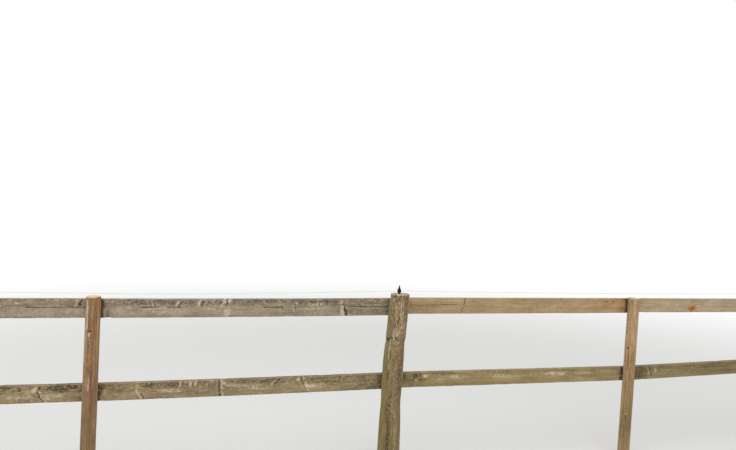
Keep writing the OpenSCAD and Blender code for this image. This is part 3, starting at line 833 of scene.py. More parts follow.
def rail_skin(node, looks, group):
    """A sawn board on the line of its solid: cracked, stained, worn, nailed and sagging."""
    form = RailForm(node)
    seed, length, thick, height = form.seed, form.length, form.thick, form.height
    outline = form.outline()
    along = form.rows(looks["knots"], group.grid, group.fine_grid)
    cracks = rail_cracks(form, along, outline, looks["cracks"])
    a = np.tile(along[:, None], (1, len(outline)))
    y = np.tile(outline[:, 0], (len(along), 1))
    z = cracks.across
    skin = Skin(np.stack([a, y, z], -1))
    skin.crack = cracks.crack
    swell = grow_knots(
        skin, a, z, looks["knots"], seed + 300, WORN_KNOTS.get(form.timber, 0.0))
    corner = np.hypot(np.minimum(y, thick - y), np.minimum(z, height - z))
    stain_rail(skin, form, looks, corner)

    depth = np.maximum(cracks.depth, rail_wear(skin, form, corner, group.wear))
    depth = depth + dent_nails(skin, form)
    seated = (y < 0.5 * MM) & ((a < SEATED) | (a > length - SEATED))
    depth = np.where(seated, np.minimum(depth, SEAT_WEAR), depth)
    if node == ROTTEN_CORNER:
        depth = depth + rot_corner(skin, form)

    # Each point moves inwards from the faces that it lies on
    half = np.array([thick / 2, height / 2])
    away = np.sign(outline - half) * (np.abs(np.abs(outline - half) - half) < 0.9 * MM)
    away = away / np.maximum(1, np.linalg.norm(away, axis=1))[:, None]
    frayed = (0.5 + 0.5 * ripple(skin.spot * [0, 330, 330], seed + 120)) * END_FRAY
    at_end = np.minimum(a, length - a) < 1e-6
    sag = group.sag if form.timber in OLD_RAILS else 0.3 * group.sag
    bow = -4 * sag * (a / length) * (1 - a / length)
    place_x = form.low[0] + a + np.where(at_end, np.where(a < length / 2, frayed, -frayed), 0)
    place_y = form.low[1] + y - away[:, 0] * depth
    place_z = form.foot + form.slope * a + bow + z - away[:, 1] * depth
    skin.places = np.stack([place_x, place_y, place_z], -1)
    skin.grain = np.stack([y + 0.37 * seed, z + 0.61 * seed, a + 2.3 * seed], -1)
    shade_and_dirt_beside_posts(skin, form, place_x, place_z)

    # The heart of the log runs beside the board, so the rings open into long flames
    heart_y = (0.030 if seed % 2 else -0.024) + 0.006 * math.sin(seed)
    heart_z = height * (0.35 + 0.1 * (seed % 4))
    drift = 0.018 * ripple(skin.spot * [1.3, 0, 0], seed + 9)
    skin.ring = np.hypot(y - heart_y, z - heart_z - drift) + 0.010 * a - swell
    return capped(skin)


def capped(skin):
    """Closes both ends of a rail with loops that shrink towards the middle."""
    shares = [(k / (END_LOOPS + 1)) ** 0.85 for k in range(1, END_LOOPS + 1)]
    for key in ("places", "grain") + Skin.FIELDS:
        values = getattr(skin, key)
        first, last = values[0], values[-1]
        head = [first.mean(0) + (first - first.mean(0)) * s for s in shares]
        tail = [last.mean(0) + (last - last.mean(0)) * s for s in reversed(shares)]
        setattr(skin, key, np.concatenate([head, values, tail]))
    return skin


# Posts

# What each post shows. Angles are counted from the post's right side through its back,
# so 270 degrees faces the camera side; heights are above the ground, in metres.
# Knots: angle and height of one end, of the other end, half width, darkness
# Cracks: from, to, angle, lean in degrees a metre, depth, half width
# Patches: angle, height, half width in degrees, half height, strength
# Furrows: angle, half width in degrees, lowest and highest point, strength
POSTS = {
    "left_end_post": {
        "knots": [
            (262, 0.78, 266, 0.78, 0.012, 0.9), (300, 0.35, 303, 0.36, 0.01, 0.8),
            (120, 0.62, 124, 0.63, 0.012, 0.9)],
        "cracks": [
            (0.4, 1.12, 250, 3, 0.01, 0.0022), (0.72, 1.16, 305, -3, 0.008, 0.0018),
            (0.35, 1.05, 70, 0, 0.01, 0.002), (0.1, 0.6, 285, 2, 0.006, 0.0014),
            (0.5, 1.1, 160, 0, 0.007, 0.0014), (0.2, 0.9, 20, 0, 0.007, 0.0014)],
        "furrows": [(270, 190, 0.85, 1.25, 0.8)],
        "moss": [(200, 0.4, 34, 0.55, 0.8)],
        "grime": [(270, 1.1, 180, 0.05, 0.4)],
        "timber": "old",
    },
    "left_post": {
        "knots": [
            (248, 0.952, 260, 0.945, 0.0035, 1.0), (260, 0.945, 276, 0.951, 0.0035, 1.0),
            (240, 0.8, 250, 0.775, 0.006, 0.6), (300, 0.6, 312, 0.54, 0.004, 0.5),
            (236, 0.672, 240, 0.668, 0.006, 0.7), (290, 0.47, 294, 0.466, 0.006, 0.6),
            (110, 0.72, 116, 0.716, 0.009, 0.8)],
        "cracks": [
            (0.16, 0.66, 291, 3, 0.005, 0.0011), (0.26, 1.02, 100, 2, 0.007, 0.0014),
            (0.7, 1.1, 312, 0, 0.003, 0.0008), (0.3, 0.8, 190, 0, 0.004, 0.0009)],
        "rust": [
            (308, 1.06, 9, 0.1, 0.42), (300, 0.94, 6, 0.1, 0.22), (262, 0.62, 5, 0.07, 0.3),
            (296, 0.55, 5, 0.08, 0.3), (246, 0.82, 5, 0.04, 0.25)],
        "bleach": [
            (258, 0.928, 10, 0.014, 1.0), (266, 0.655, 9, 0.05, 0.66), (262, 0.87, 6, 0.05, 0.6),
            (236, 0.76, 12, 0.05, 0.4), (240, 0.66, 12, 0.03, 0.5), (248, 0.5, 12, 0.05, 0.4),
            # The long pale strips at 196 and 350 degrees run down the post's edges: weathered
            # wood with a painted rim highlight
            (196, 0.75, 18, 0.55, 0.6), (350, 0.65, 12, 0.6, 0.3), (262, 1.145, 80, 0.014, 1.0),
            (232, 1.06, 14, 0.12, 0.85), (216, 0.95, 12, 0.26, 0.6), (252, 1.07, 5, 0.09, 0.6),
            (276, 1.06, 10, 0.08, 0.5), (322, 1.02, 10, 0.14, 0.5), (284, 0.8, 5, 0.09, 0.4)],
        "grime": [
            (244, 0.79, 8, 0.035, 0.5), (300, 0.62, 8, 0.07, 0.3), (260, 1.03, 2.5, 0.1, 0.7),
            (245, 1.04, 2.5, 0.12, 0.75), (270, 0.99, 3, 0.06, 0.5), (280, 0.92, 3, 0.1, 0.45),
            (286, 0.72, 4, 0.08, 0.45), (250, 0.7, 3, 0.06, 0.5), (222, 0.88, 24, 0.1, 0.2),
            (292, 1.02, 3, 0.12, 0.4), (316, 0.86, 4, 0.16, 0.45), (261, 0.949, 15, 0.005, 1.4)],
        "moss": [(230, 0.15, 80, 0.3, 0.3), (250, 0.42, 90, 0.2, 0.25)],
        "timber": "brown",
    },
    "middle_post": {
        "knots": [
            (214, 0.872, 226, 0.866, 0.009, 0.8), (289, 0.858, 296, 0.852, 0.007, 0.5),
            (250, 0.5, 252, 0.494, 0.008, 0.9), (222, 1.0, 224, 0.992, 0.005, 0.7),
            (90, 0.7, 96, 0.695, 0.014, 0.9)],
        "cracks": [
            (0.42, 0.56, 247, -5, 0.004, 0.0008), (0.1, 0.26, 248, 3, 0.004, 0.0008),
            (0.2, 0.48, 302, -6, 0.004, 0.0008), (0.06, 0.56, 95, 0, 0.009, 0.0022),
            (0.16, 0.6, 170, 0, 0.006, 0.0014), (0.98, 1.12, 296, 0, 0.005, 0.0012),
            (0.9, 1.14, 310, 0, 0.005, 0.0012)],
        "furrows": [
            (232, 34, 0.9, 1.2, 1.0), (245, 60, 0.8, 0.95, 0.6), (292, 34, 0.9, 1.2, 0.8),
            (60, 110, 0.8, 1.2, 0.7), (232, 12, 0.58, 0.84, 0.85), (278, 30, 0.5, 0.84, 0.3),
            (250, 40, 0.02, 0.62, 0.3)],
        "grime": [
            (244, 0.2, 12, 0.22, 0.8), (243, 0.46, 14, 0.12, 0.7), (262, 0.36, 16, 0.08, 0.4),
            (300, 0.66, 24, 0.18, 0.65), (282, 0.54, 14, 0.12, 0.45), (306, 0.26, 10, 0.2, 0.35),
            (268, 1.145, 60, 0.01, 0.8), (226, 0.44, 8, 0.03, 0.8), (300, 1.11, 22, 0.035, 0.7),
            (246, 1.13, 12, 0.03, 0.7), (228, 1.04, 13, 0.12, 0.45), (240, 0.93, 14, 0.05, 0.35),
            (246, 0.7, 16, 0.14, 0.3), (231, 0.8, 3, 0.09, 1.0), (306, 0.78, 15, 0.1, 0.5),
            # The grime patches at 0.873, 0.885 and 0.889 metres are painted shadow along the
            # ledge under the dead branch
            (228, 0.655, 7, 0.04, 0.7), (204, 0.873, 21, 0.013, 1.5),
            (192, 0.885, 16, 0.004, 1.2), (246, 0.889, 30, 0.004, 0.9)],
        "moss": [
            (198, 0.45, 40, 0.62, 1.0), (192, 1.0, 26, 0.16, 0.9), (236, 0.16, 44, 0.24, 0.75),
            (222, 0.7, 26, 0.16, 0.6), (280, 0.24, 60, 0.34, 0.45), (250, 0.32, 100, 0.24, 0.45)],
        "bleach": [
            (276, 0.98, 40, 0.16, 0.5), (280, 1.0, 16, 0.08, 0.6), (220, 1.125, 6, 0.012, 1.0),
            (262, 0.925, 34, 0.035, 0.75), (258, 0.86, 24, 0.02, 0.7), (232, 0.935, 8, 0.03, 0.6),
            # The long pale strip at 345 degrees runs down the post's right edge: weathered wood
            # with a painted rim highlight
            (345, 0.85, 14, 0.4, 0.5), (250, 0.83, 50, 0.02, 0.42), (222, 0.832, 9, 0.009, 0.75),
            (244, 0.895, 12, 0.018, 0.7), (266, 0.885, 8, 0.014, 0.6), (222, 0.81, 6, 0.08, 0.9),
            (230, 0.72, 6, 0.06, 0.45), (280, 0.27, 14, 0.18, 0.55),
            (262, 1.158, 130, 0.004, 1.0)],
        "timber": "old",
    },
    "right_post": {
        "knots": [
            (203, 0.781, 211, 0.772, 0.008, 1.0), (222, 0.296, 234, 0.302, 0.005, 0.8),
            (110, 0.5, 116, 0.495, 0.009, 0.8)],
        "cracks": [
            (0.6, 0.775, 213, -4, 0.006, 0.0014), (0.19, 1.01, 75, 0, 0.007, 0.0015),
            (0.766, 0.79, 206, 3, 0.007, 0.0034), (0.29, 0.312, 229, 3, 0.005, 0.0022),
            (0.3, 0.6, 262, 0, 0.003, 0.0009), (0.84, 1.12, 188, 0, 0.003, 0.0008)],
        "bleach": [
            # The long pale strip at 190 degrees runs down the post's left edge: weathered wood
            # with a painted rim highlight
            (251, 1.016, 6, 0.02, 0.9), (249, 0.618, 5, 0.012, 0.8), (190, 0.8, 16, 0.5, 0.35),
            (232, 1.128, 80, 0.01, 0.8), (240, 1.06, 26, 0.08, 0.45), (230, 0.492, 8, 0.034, 0.5),
            (228, 0.316, 9, 0.012, 0.9), (214, 0.9, 8, 0.1, 0.3)],
        "grime": [
            (219, 0.69, 4, 0.08, 0.6), (226, 0.64, 26, 0.1, 0.4), (196, 0.86, 20, 0.36, 0.62),
            (207, 0.778, 7, 0.01, 1.5), (232, 0.22, 60, 0.12, 0.5), (236, 0.38, 8, 0.07, 0.35),
            (240, 0.6, 5, 0.05, 0.5), (244, 0.54, 20, 0.04, 0.35)],
        "moss": [(210, 0.1, 90, 0.26, 0.4), (225, 0.28, 95, 0.2, 0.5)],
        "dim": [(228, 0.22, 40, 0.14, 0.14)],
        "timber": "leaning",
    },
    "right_end_post": {
        "knots": [
            (250, 0.6, 255, 0.6, 0.007, 0.9), (280, 0.95, 284, 0.955, 0.007, 0.8),
            (60, 0.4, 66, 0.4, 0.009, 0.8)],
        "cracks": [
            (0.38, 1.0, 262, 2, 0.006, 0.0013), (0.22, 0.9, 110, 0, 0.007, 0.0014),
            (0.5, 1.1, 318, 0, 0.004, 0.001)],
        # The long pale strip at 200 degrees runs down the post's left edge: weathered wood with a
        # painted rim highlight
        "bleach": [(200, 0.6, 14, 0.6, 0.6)],
        "moss": [(190, 0.15, 50, 0.2, 0.4)],
        "timber": "brown",
    },
}
POST_NAMES = list(POSTS)
TRUNK = "middle_post"  # the old bent trunk, whose axis and width follow curves
SKIN_GAP = 0.2 * MM  # clearance of a post's skin inside its solid
SEAT_GAP = 0.1 * MM
HEAD_ROUND = 4 * MM  # rim of a sawn head
HEAD_FALL = {"right_post": 5 * MM}  # how far a sloping head drops across its width
HEAD_LOOPS = 12
FOOT_SHARES = (0.25, 0.5, 0.75, 0.92)  # radii of the loops that close a foot
TRUNK_KICK = 5.5 * MM  # bend aside near the ground
KNOT_Z, KNOT_ANGLE = 0.861, 235  # ledge under the trunk's dead branch
KNOT_CLIMB = 28 * MM
LEDGE_DEPTH, HIP_DEPTH = 8 * MM, 5 * MM


@functools.cache
class PostForm:
    """Axis, radii and rail seats of a post, read from the construction model."""

    def __init__(self, node):
        points = corner_points(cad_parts[node].data)
        self.node = node
        self.seat_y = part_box("top_rail_1")[0].y
        foot = points[points[:, 2] < 1e-4]
        self.head = points[:, 2].max()
        self.foot_x = (foot[:, 0].min() + foot[:, 0].max()) / 2
        self.foot_r = (foot[:, 0].max() - foot[:, 0].min()) / 2
        self.y = foot[:, 1].min() + self.foot_r
        self.fall = HEAD_FALL.get(node, 0)
        top = points[points[:, 2] > self.head - self.fall - 1.02 * HEAD_ROUND]
        self.head_x = (top[:, 0].min() + top[:, 0].max()) / 2
        self.head_r = (top[:, 0].max() - top[:, 0].min()) / 2
        seats = np.unique(points[np.abs(points[:, 1] - self.seat_y) < 1e-5][:, 2].round(5))
        between = (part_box("top_rail_1")[0].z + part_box("low_rail_1")[1].z) / 2
        lower, upper = seats[seats < between], seats[seats > between]
        self.seats = [(lower.min(), lower.max()), (upper.min(), upper.max())]
        if node == TRUNK:
            self.measure_trunk(points)

    def measure_trunk(self, points):
        """A bent trunk's width is read ring by ring."""
        levels = np.unique(points[:, 2].round(4))
        rings = [points[np.abs(points[:, 2] - level) < 6e-5] for level in levels]
        full = [(level, np.ptp(ring[:, 0])) for level, ring in zip(levels, rings)
                if len(ring) >= 60 and np.ptp(ring[:, 0]) > 1.6 * self.head_r]
        self.levels, widths = np.array(full).T
        self.radii = widths / 2
        self.foot_x = 0.0
        self.y = 0.0

    def axis(self, z):
        """The post's middle at a height; the trunk kicks aside, then sweeps back slowly."""
        share = z / self.head
        if self.node == TRUNK:
            kick = TRUNK_KICK * (1 - np.exp(-np.maximum(z, 0) / 0.09))
            return kick + (self.head_x - TRUNK_KICK) * np.maximum(share, 0) ** 2.6
        return self.foot_x + (self.head_x - self.foot_x) * share

    def radius(self, z):
        if self.node == TRUNK:
            return np.interp(z, self.levels, self.radii)
        return self.foot_r + (self.head_r - self.foot_r) * z / self.head

    def drop(self, x):
        """How far a sloping head lies below its highest side at x."""
        left = self.axis(self.head) - self.head_r
        return self.fall * (x - left) / (2 * self.head_r)

    def rows(self, knots, grid):
        """Heights of the rings of points, closer together beside knots and rail seats."""
        height = self.head - HEAD_ROUND
        fine = 3.5 * MM
        rows = list(np.arange(0, height, grid)) + [height]
        for low, high in self.seats:
            rows += [low - 0.4 * MM, low + 0.2 * MM, high - 0.2 * MM, high + 0.4 * MM]
        for knot in knots:
            rows += list(np.arange(knot[1] - 0.02, knot[1] + 0.02, fine))
        if self.node == TRUNK:
            rows += list(np.arange(KNOT_Z - 0.03, KNOT_Z + 0.06, fine))
        rows = np.array(sorted(z for z in rows if z <= height))
        return rows[np.concatenate([[True], np.diff(rows) > 0.55 * MM])]


def degrees_from(theta, angle):
    """Angle of each point from the given one, from -180 to 180 degrees."""
    return (np.degrees(theta) - angle + 540) % 360 - 180


def furrow_post(skin, theta, furrows, seed, deepest):
    """Furrows of an old post: broken channels between pale ridges. Returns their depth."""
    spot = skin.spot
    z = spot[..., 2]
    for angle, wide, low, high, strength in furrows:
        turned = np.abs(degrees_from(theta, angle))
        zone = strength * ease(wide + 14, wide - 14, turned) * ease(low, low + 0.10, z)
        skin.show("furrow", zone * (1 - ease(high, high + 0.05, z)))
    bends = [ripple(spot * [40, 40, 30], seed + k) for k in (93, 94, 96)]
    warp = spot + 4 * MM * np.stack(bends, -1)
    channel = ripple(warp * [110, 110, 27], seed + 90)
    channel = np.abs(channel + 0.45 * ripple(warp * [220, 220, 90], seed + 91))
    groove = np.clip(1 - channel / 0.30, 0, 1) ** 1.1
    broken = ease(-0.35, 0.25, ripple(spot * [34, 34, 26], seed + 92))
    cut = groove * broken * skin.furrow
    skin.show("crack", 0.85 * cut)
    skin.show("bleach", 0.35 * ease(0.30, 0.70, channel) * skin.furrow)
    return deepest * cut


def dead_knot(skin, theta, seed):
    """A crooked ledge across the front and left of the trunk, where a branch has died, with a
    shadow painted under it.

    Above it the trunk is slimmer on its left side. Returns the depth of both.
    """
    spot = skin.spot
    z = spot[..., 2]
    turned = degrees_from(theta, KNOT_ANGLE)
    climb = np.exp(-((turned - 2) / 31) ** 4) + 0.35 * bell(turned - 47, 16)
    off = (z - KNOT_Z - KNOT_CLIMB * climb) / (12 * MM)
    ledge = np.exp(-(turned / 52) ** 2 - off ** 2)
    depth = LEDGE_DEPTH * ledge * (1 + 0.3 * ripple(spot * [60, 60, 90], seed + 17))
    # Painted shadow: a dark line under the ledge's lip, laid into the grime and crack marks
    painted_ledge_shadow = np.exp(-np.abs(turned / 54) ** 6 - ((off - 0.2) * 0.95) ** 2)
    patchy = np.clip(0.85 + 0.6 * ripple(spot * [70, 70, 50], seed + 18), 0, 1)
    skin.show("grime", 1.1 * painted_ledge_shadow * patchy)
    skin.show("crack", 0.58 * painted_ledge_shadow ** 1.5 * patchy)
    lip = np.exp(-(turned / 40) ** 2 - (np.abs(off + 1.6) - 0.2) ** 2 * 3)
    skin.show("bleach", 0.8 * lip * (0.5 + 0.7 * ripple(spot * [110, 110, 60], seed + 19)))
    depth += 0.6 * MM * (1 - np.sin(3 * theta + 0.35))
    depth += 0.4 * MM * (1 - np.sin(5 * theta + 8 * z))
    hip = bell(turned + 65, 50) * ease(0.84, 0.88, z) * ease(1.09, 0.97, z)
    return depth + HIP_DEPTH * hip


def post_skin(node, looks, group):
    """A round post on the line of its solid: cracked, stained, worn, furrowed where it is old."""
    form = PostForm(node)
    seed = POST_NAMES.index(node) + 31
    old = looks["timber"] == "old"
    columns = group.columns
    mean_r = (form.foot_r + form.head_r) / 2
    girth = TURN * mean_r
    degree = girth / 360
    z_rows = form.rows(looks["knots"], group.grid)
    cracks = Cracks(z_rows, np.arange(columns) * girth / columns)
    for start, end, angle, lean, deep, half in looks["cracks"]:
        path = (start, end, angle * degree, lean * degree, deep, half)
        cracks.run(np.arange(1, columns - 1), path)

    around = cracks.across
    theta = around / mean_r
    z = np.tile(z_rows[:, None], (1, columns))
    spot = np.stack([np.cos(theta) * mean_r, np.sin(theta) * mean_r, z], -1)
    skin = Skin(spot)
    skin.crack = cracks.crack
    knots = [(a0 * degree, z0, a1 * degree, z1, half, dark)
             for a0, z0, a1, z1, half, dark in looks["knots"]]
    swell = grow_knots(skin, around, z, knots, seed + 300)
    patches = {kind: [(angle * degree, level, wide * degree, tall, strength)
                      for angle, level, wide, tall, strength in looks.get(kind, [])]
               for kind in Skin.PATCHES}
    lay_patches(skin, patches, around, z, girth)
    uneven = 1 + 0.05 * ripple(spot * [3, 3, 3], seed + 62) - 0.14 * ease(0.95, 0.2, z)
    skin.shade = uneven * (1 - skin.dim)

    depth = cracks.depth
    if old:
        depth = np.maximum(
            depth, furrow_post(skin, theta, looks["furrows"], seed, group.furrow))
    waves = ripple(spot * [60, 60, 6], seed) * 0.6 + ripple(spot * [200, 200, 14], seed + 7) * 0.4
    worn = group.wear * (1.6 if old else 1.0) * (0.9 + 0.8 * waves)
    if old:
        worn = worn + 1.9 * MM * np.clip(ripple(spot * [34, 34, 9], seed + 13), 0, 1)
    depth = np.maximum(depth, worn) + 0.5 * MM * skin.knot
    if node == TRUNK:
        depth = depth + dead_knot(skin, theta, seed)
    if old:
        ragged = np.clip(ripple(spot * [60, 60, 5], seed + 95), 0, 1)
        depth = depth + 2.5 * MM * ease(0.03, 0.0, form.head - z) * ragged

    radius = form.radius(z) - SKIN_GAP - depth
    x = form.axis(z) + radius * np.cos(theta)
    y = form.y + radius * np.sin(theta)
    for low, high in form.seats:
        inside = (z > low - SEAT_GAP) & (z < high + SEAT_GAP)
        y = np.where(inside, np.minimum(y, form.seat_y - SEAT_GAP), y)
    skin.places = np.stack([x, y, z], -1)
    skin.grain = spot + [0.41 * seed, 0.23 * seed, 1.7 * seed]

    # The heart is off centre and wanders, so the turned skin shows long flames
    lift = np.stack([0 * z, 0 * z, z], -1)
    heart = 6 * MM * np.stack([ripple(lift * 2.2, seed + 3), ripple(lift * 1.7, seed + 5)], -1)
    heart = heart + np.array([0.005 * math.cos(seed), -0.007])
    skin.ring = np.hypot(spot[..., 0] - heart[..., 0], spot[..., 1] - heart[..., 1])
    skin.ring = skin.ring + 0.006 * z - swell + 2 * MM * ripple(spot * [30, 30, 4], seed + 21)
    return headed(skin, form, seed)


def head_steps(reach):
    """Rise and radius of each ring on a post's head: the rounded rim, then the sawn face."""
    bends = [k / 3 * math.pi / 2 for k in (1, 2, 3)]
    steps = [(HEAD_ROUND * math.sin(b), reach - HEAD_ROUND * (1 - math.cos(b))) for b in bends]
    shares = [1 - k / (HEAD_LOOPS + 1) for k in range(1, HEAD_LOOPS + 1)]
    return steps + [(HEAD_ROUND, (reach - HEAD_ROUND) * share) for share in shares]


def headed(skin, form, seed):
    """Closes a post: flat foot, and a sawn head with a rounded rim."""
    keys = ("places", "grain") + Skin.FIELDS
    stacks = {key: list(getattr(skin, key)) for key in keys}
    middle = np.array([form.axis(form.head), form.y, 0])
    outward = (skin.places[-1] - middle) * [1, 1, 0]
    reach = np.linalg.norm(outward, axis=1)
    outward = outward / reach[:, None]
    for rise, r in head_steps(reach):
        ring = middle + outward * r[:, None]
        saw = 0.35 * MM * ripple(np.stack([ring[:, 0] * 90, ring[:, 1] * 500, 0 * r], -1), seed)
        level = form.head - HEAD_ROUND + rise - SKIN_GAP + np.minimum(0, saw)
        ring[:, 2] = level - form.drop(ring[:, 0])
        share = r / reach
        grain = skin.grain[-1].copy()
        hub = grain.mean(0)
        grain[:, :2] = hub[:2] + (grain[:, :2] - hub[:2]) * share[:, None]
        stacks["places"].append(ring)
        stacks["grain"].append(grain)
        stacks["ring"].append(skin.ring[-1] * share ** 0.95)
        stacks["shade"].append(skin.shade[-1])
        for key in Skin.FIELDS[2:]:
            stacks[key].append(getattr(skin, key)[-1] * share ** 3)
    if form.fall:
        body = skin.places.copy()
        body[..., 2] -= form.drop(body[..., 0]) * ease(0.04, 0.0, form.head - body[..., 2])
        stacks["places"][:len(body)] = list(body)
    for key in keys:
        foot = stacks[key][0]
        hub = foot.mean(0)
        inner = [hub + (foot - hub) * share for share in FOOT_SHARES]
        setattr(skin, key, np.array(inner + stacks[key]))
    return skin


# Wood finishes

# Noise in the timber: waves a metre, twice across the grain and once along it, then detail,
# roughness and distortion
WOOD_NOISE = {
    "fibre": ((700, 700, 14), 4, 0.65),
    "streak": ((170, 170, 4), 4, 0.6, 0.4),
    "flow": ((55, 55, 2.2), 2, 0.5, 0.5),
    "blotch": ((16, 16, 6), 4, 0.6),
    "mottle": ((75, 75, 32), 5, 0.72, 0.5),
    "speck": ((150, 150, 85), 3, 0.65),
    "lump": ((48, 48, 30), 3, 0.6, 1.0),
    "lifted": ((420, 420, 20), 3, 0.6),
    "hair": ((330, 330, 3.4), 2, 0.55),
    "cleft": ((150, 150, 42), 3, 0.6, 0.7),
    "drift": ((22, 22, 22), 3, 0.6),
}
WORN_PALE = paint("#d2c2a8")
RIDGE_PALE = paint("#c8ac86")
RUST_STAIN = paint("#b05c22")
KNOT_OLD, KNOT_FRESH = paint("#3a2c1f"), paint("#5a3e28")
CRACK_DARK, CHECK_DARK = paint("#1f170f"), paint("#1d150d")


def toned(colour, factor):
    """A colour made lighter or darker, at most white."""
    return [min(1, c * factor) for c in colour]


class Timber:
    """Weathered timber along the grain; age runs from 0, fresh, to 1, old and grey."""

    def __init__(self, name, light, dark, ring_gap, age, coarse=1.0, lean=(0.0, 0.5, 0.0)):
        s = self.shader = Shader(name)
        self.light, self.dark = light, dark
        self.age, self.coarse = age, coarse
        self.grain = s.attribute("grain")
        for key, fields in Skin.ATTRIBUTES.items():
            vector = s.attribute(key)
            for index, field in enumerate(fields):
                setattr(self, field, vector.part(index))
        for key, (stretch, *shape) in WOOD_NOISE.items():
            setattr(self, key, s.noise(self.grain.times(stretch), *shape))
        self.late = (self.ring * (TURN / ring_gap) + self.flow * 3).sine().between(-0.1, 1.0)
        self.grit = self.torn_grit(lean)
        self.hair = self.hair.between(0.68, 0.75) * (0.25 + 0.5 * age)
        rough = self.cleft + (self.fibre - 0.5) * 0.10 + (self.speck - 0.5) * 0.10
        self.cleft = rough.between(0.52, 0.60) * self.furrow

    def torn_grit(self, lean):
        """Fine unevenness: specks, mottles, lumps and fibres torn in two slanting directions."""
        s = self.shader
        torn = s.noise(self.grain.turned(lean, (90, 175, 48)), 3, 0.6, 0.8)
        back = s.noise(self.grain.turned([-k for k in lean], (90, 160, 60)), 3, 0.6, 0.8)
        torn = torn + (back - torn) * self.flow.between(0.44, 0.56)
        return self.speck * 0.22 + self.mottle * 0.2 + torn * 0.2 + self.lump * 0.38

    def clean(self):
        """Light and dark wood, growth rings, lifted fibres and pale grit."""
        s, age = self.shader, self.age
        tone = self.fibre * 0.26 + self.streak * (0.34 - 0.10 * age)
        tone = tone + self.flow * (0.22 - 0.06 * age)
        tone = tone + (self.blotch * 0.18 + self.mottle * 0.16 * age)
        lifted = self.lifted.between(0.60, 0.74)
        salt = self.grit.between(0.488, 0.425) * self.coarse
        return s.layered(
            self.dark,
            (tone.between(0.40 - 0.03 * age, 0.60 + 0.03 * age), self.light),
            (self.late * (0.40 - 0.22 * age), toned(self.dark, 0.62)),
            (lifted * (0.2 + 0.3 * age), toned(self.light, 1.35)),
            (salt * (0.14 + 0.40 * age), toned(self.light, 1.55)),
            (self.furrow * 0.35, RIDGE_PALE))

    def weathered(self, colour, algae, mould):
        """Algae, dark mould and grime with the painted shade it carries, pale worn places with a
        painted rim highlight on the posts' edges, and rust over the clean wood.
        """
        s, age, bleach = self.shader, self.age, self.bleach
        green = self.moss * (self.mottle * 0.9 + self.blotch * 0.5 - 0.1).between(0.25, 0.75)
        stain_and_shade = self.grime * (1 - bleach * 0.8)
        pepper = (self.grit + stain_and_shade * 0.075).between(0.498, 0.586)
        dark = pepper * (0.05 + 0.26 * age * self.coarse + stain_and_shade * 0.50) + stain_and_shade * 0.18
        ink = s.blend(self.speck.between(0.35, 0.65), toned(mould, 0.7), mould)
        worn = bleach * 1.15 + (self.streak - 0.5) * 0.9 + (self.speck - 0.5) * 1.1
        worn = (worn + (self.lump - 0.5) * 1.6).between(0.36, 1.10)
        return s.layered(
            colour,
            (green * 0.75, algae), (dark.least(0.92), ink),
            (worn * (0.45 + self.speck * 0.6), WORN_PALE),
            (self.rust * (0.45 + self.blotch * 0.9), RUST_STAIN))

    def marked(self, colour):
        """Dark knots with a pale halo, open cracks and clefts, and uneven light."""
        s, age, knot = self.shader, self.age, self.knot
        fibre, speck = self.fibre - 0.5, self.speck - 0.5
        rays = (knot * 26).sine() * knot * 0.12
        heartwood = (knot + fibre * 0.35 + speck * 0.5 + rays).between(0.25, 0.68)
        halo = knot.between(0.04, 0.16) * (1 - knot.between(0.2, 0.4))
        gap = (self.crack + fibre * 0.4 + speck * 0.3).between(0.28, 0.70)
        gap = gap.most(self.hair).most(self.cleft * 0.9)
        uneven = 1 + (self.mottle - 0.5) * (0.2 + 0.7 * age)
        uneven = uneven + (self.blotch - 0.5) * (0.2 + 0.5 * age)
        uneven = uneven + (self.lump - 0.5) * (0.1 + 0.9 * age)
        colour = s.layered(
            colour,
            (heartwood * 0.88, KNOT_OLD if age > 0.5 else KNOT_FRESH),
            (halo * 0.16, toned(self.light, 1.35)), (gap * 0.92, CRACK_DARK))
        return colour.scaled(self.shade * uneven)

    def relief(self, saw):
        """Height of the grain; saw gives a board's kerf marks, in radians a metre."""
        age = self.age
        relief = self.fibre * 0.35 + (1 - self.late) * (0.12 + 0.12 * age)
        relief = relief + self.streak * 0.35 + self.knot * 0.4
        relief = relief - self.hair * 0.7 - self.cleft * 1.4
        relief = relief + (self.speck + self.mottle) * (0.05 + 0.15 * age)
        if saw:
            kerf = (self.grain.part(2) * saw + self.drift * 14).sine()
            relief = relief + kerf * self.blotch.between(0.42, 0.62) * 0.09
        return relief

    def face(self, deep, saw=0.0):
        """The finished material, with grain as deep as given."""
        fence = bpy.context.scene
        colour = self.weathered(
            self.clean(), list(fence.fence_posts.algae), list(fence.fence_rails.mould))
        return self.shader.finish({
            "Base Color": self.marked(colour),
            "Roughness": 0.93 - self.late * 0.08 - self.knot * 0.1,
            "Normal": self.shader.bump(self.relief(saw), deep, 0.9),
            "Specular IOR Level": 0.25, "Sheen Weight": 0.06, "Sheen Roughness": 0.6})


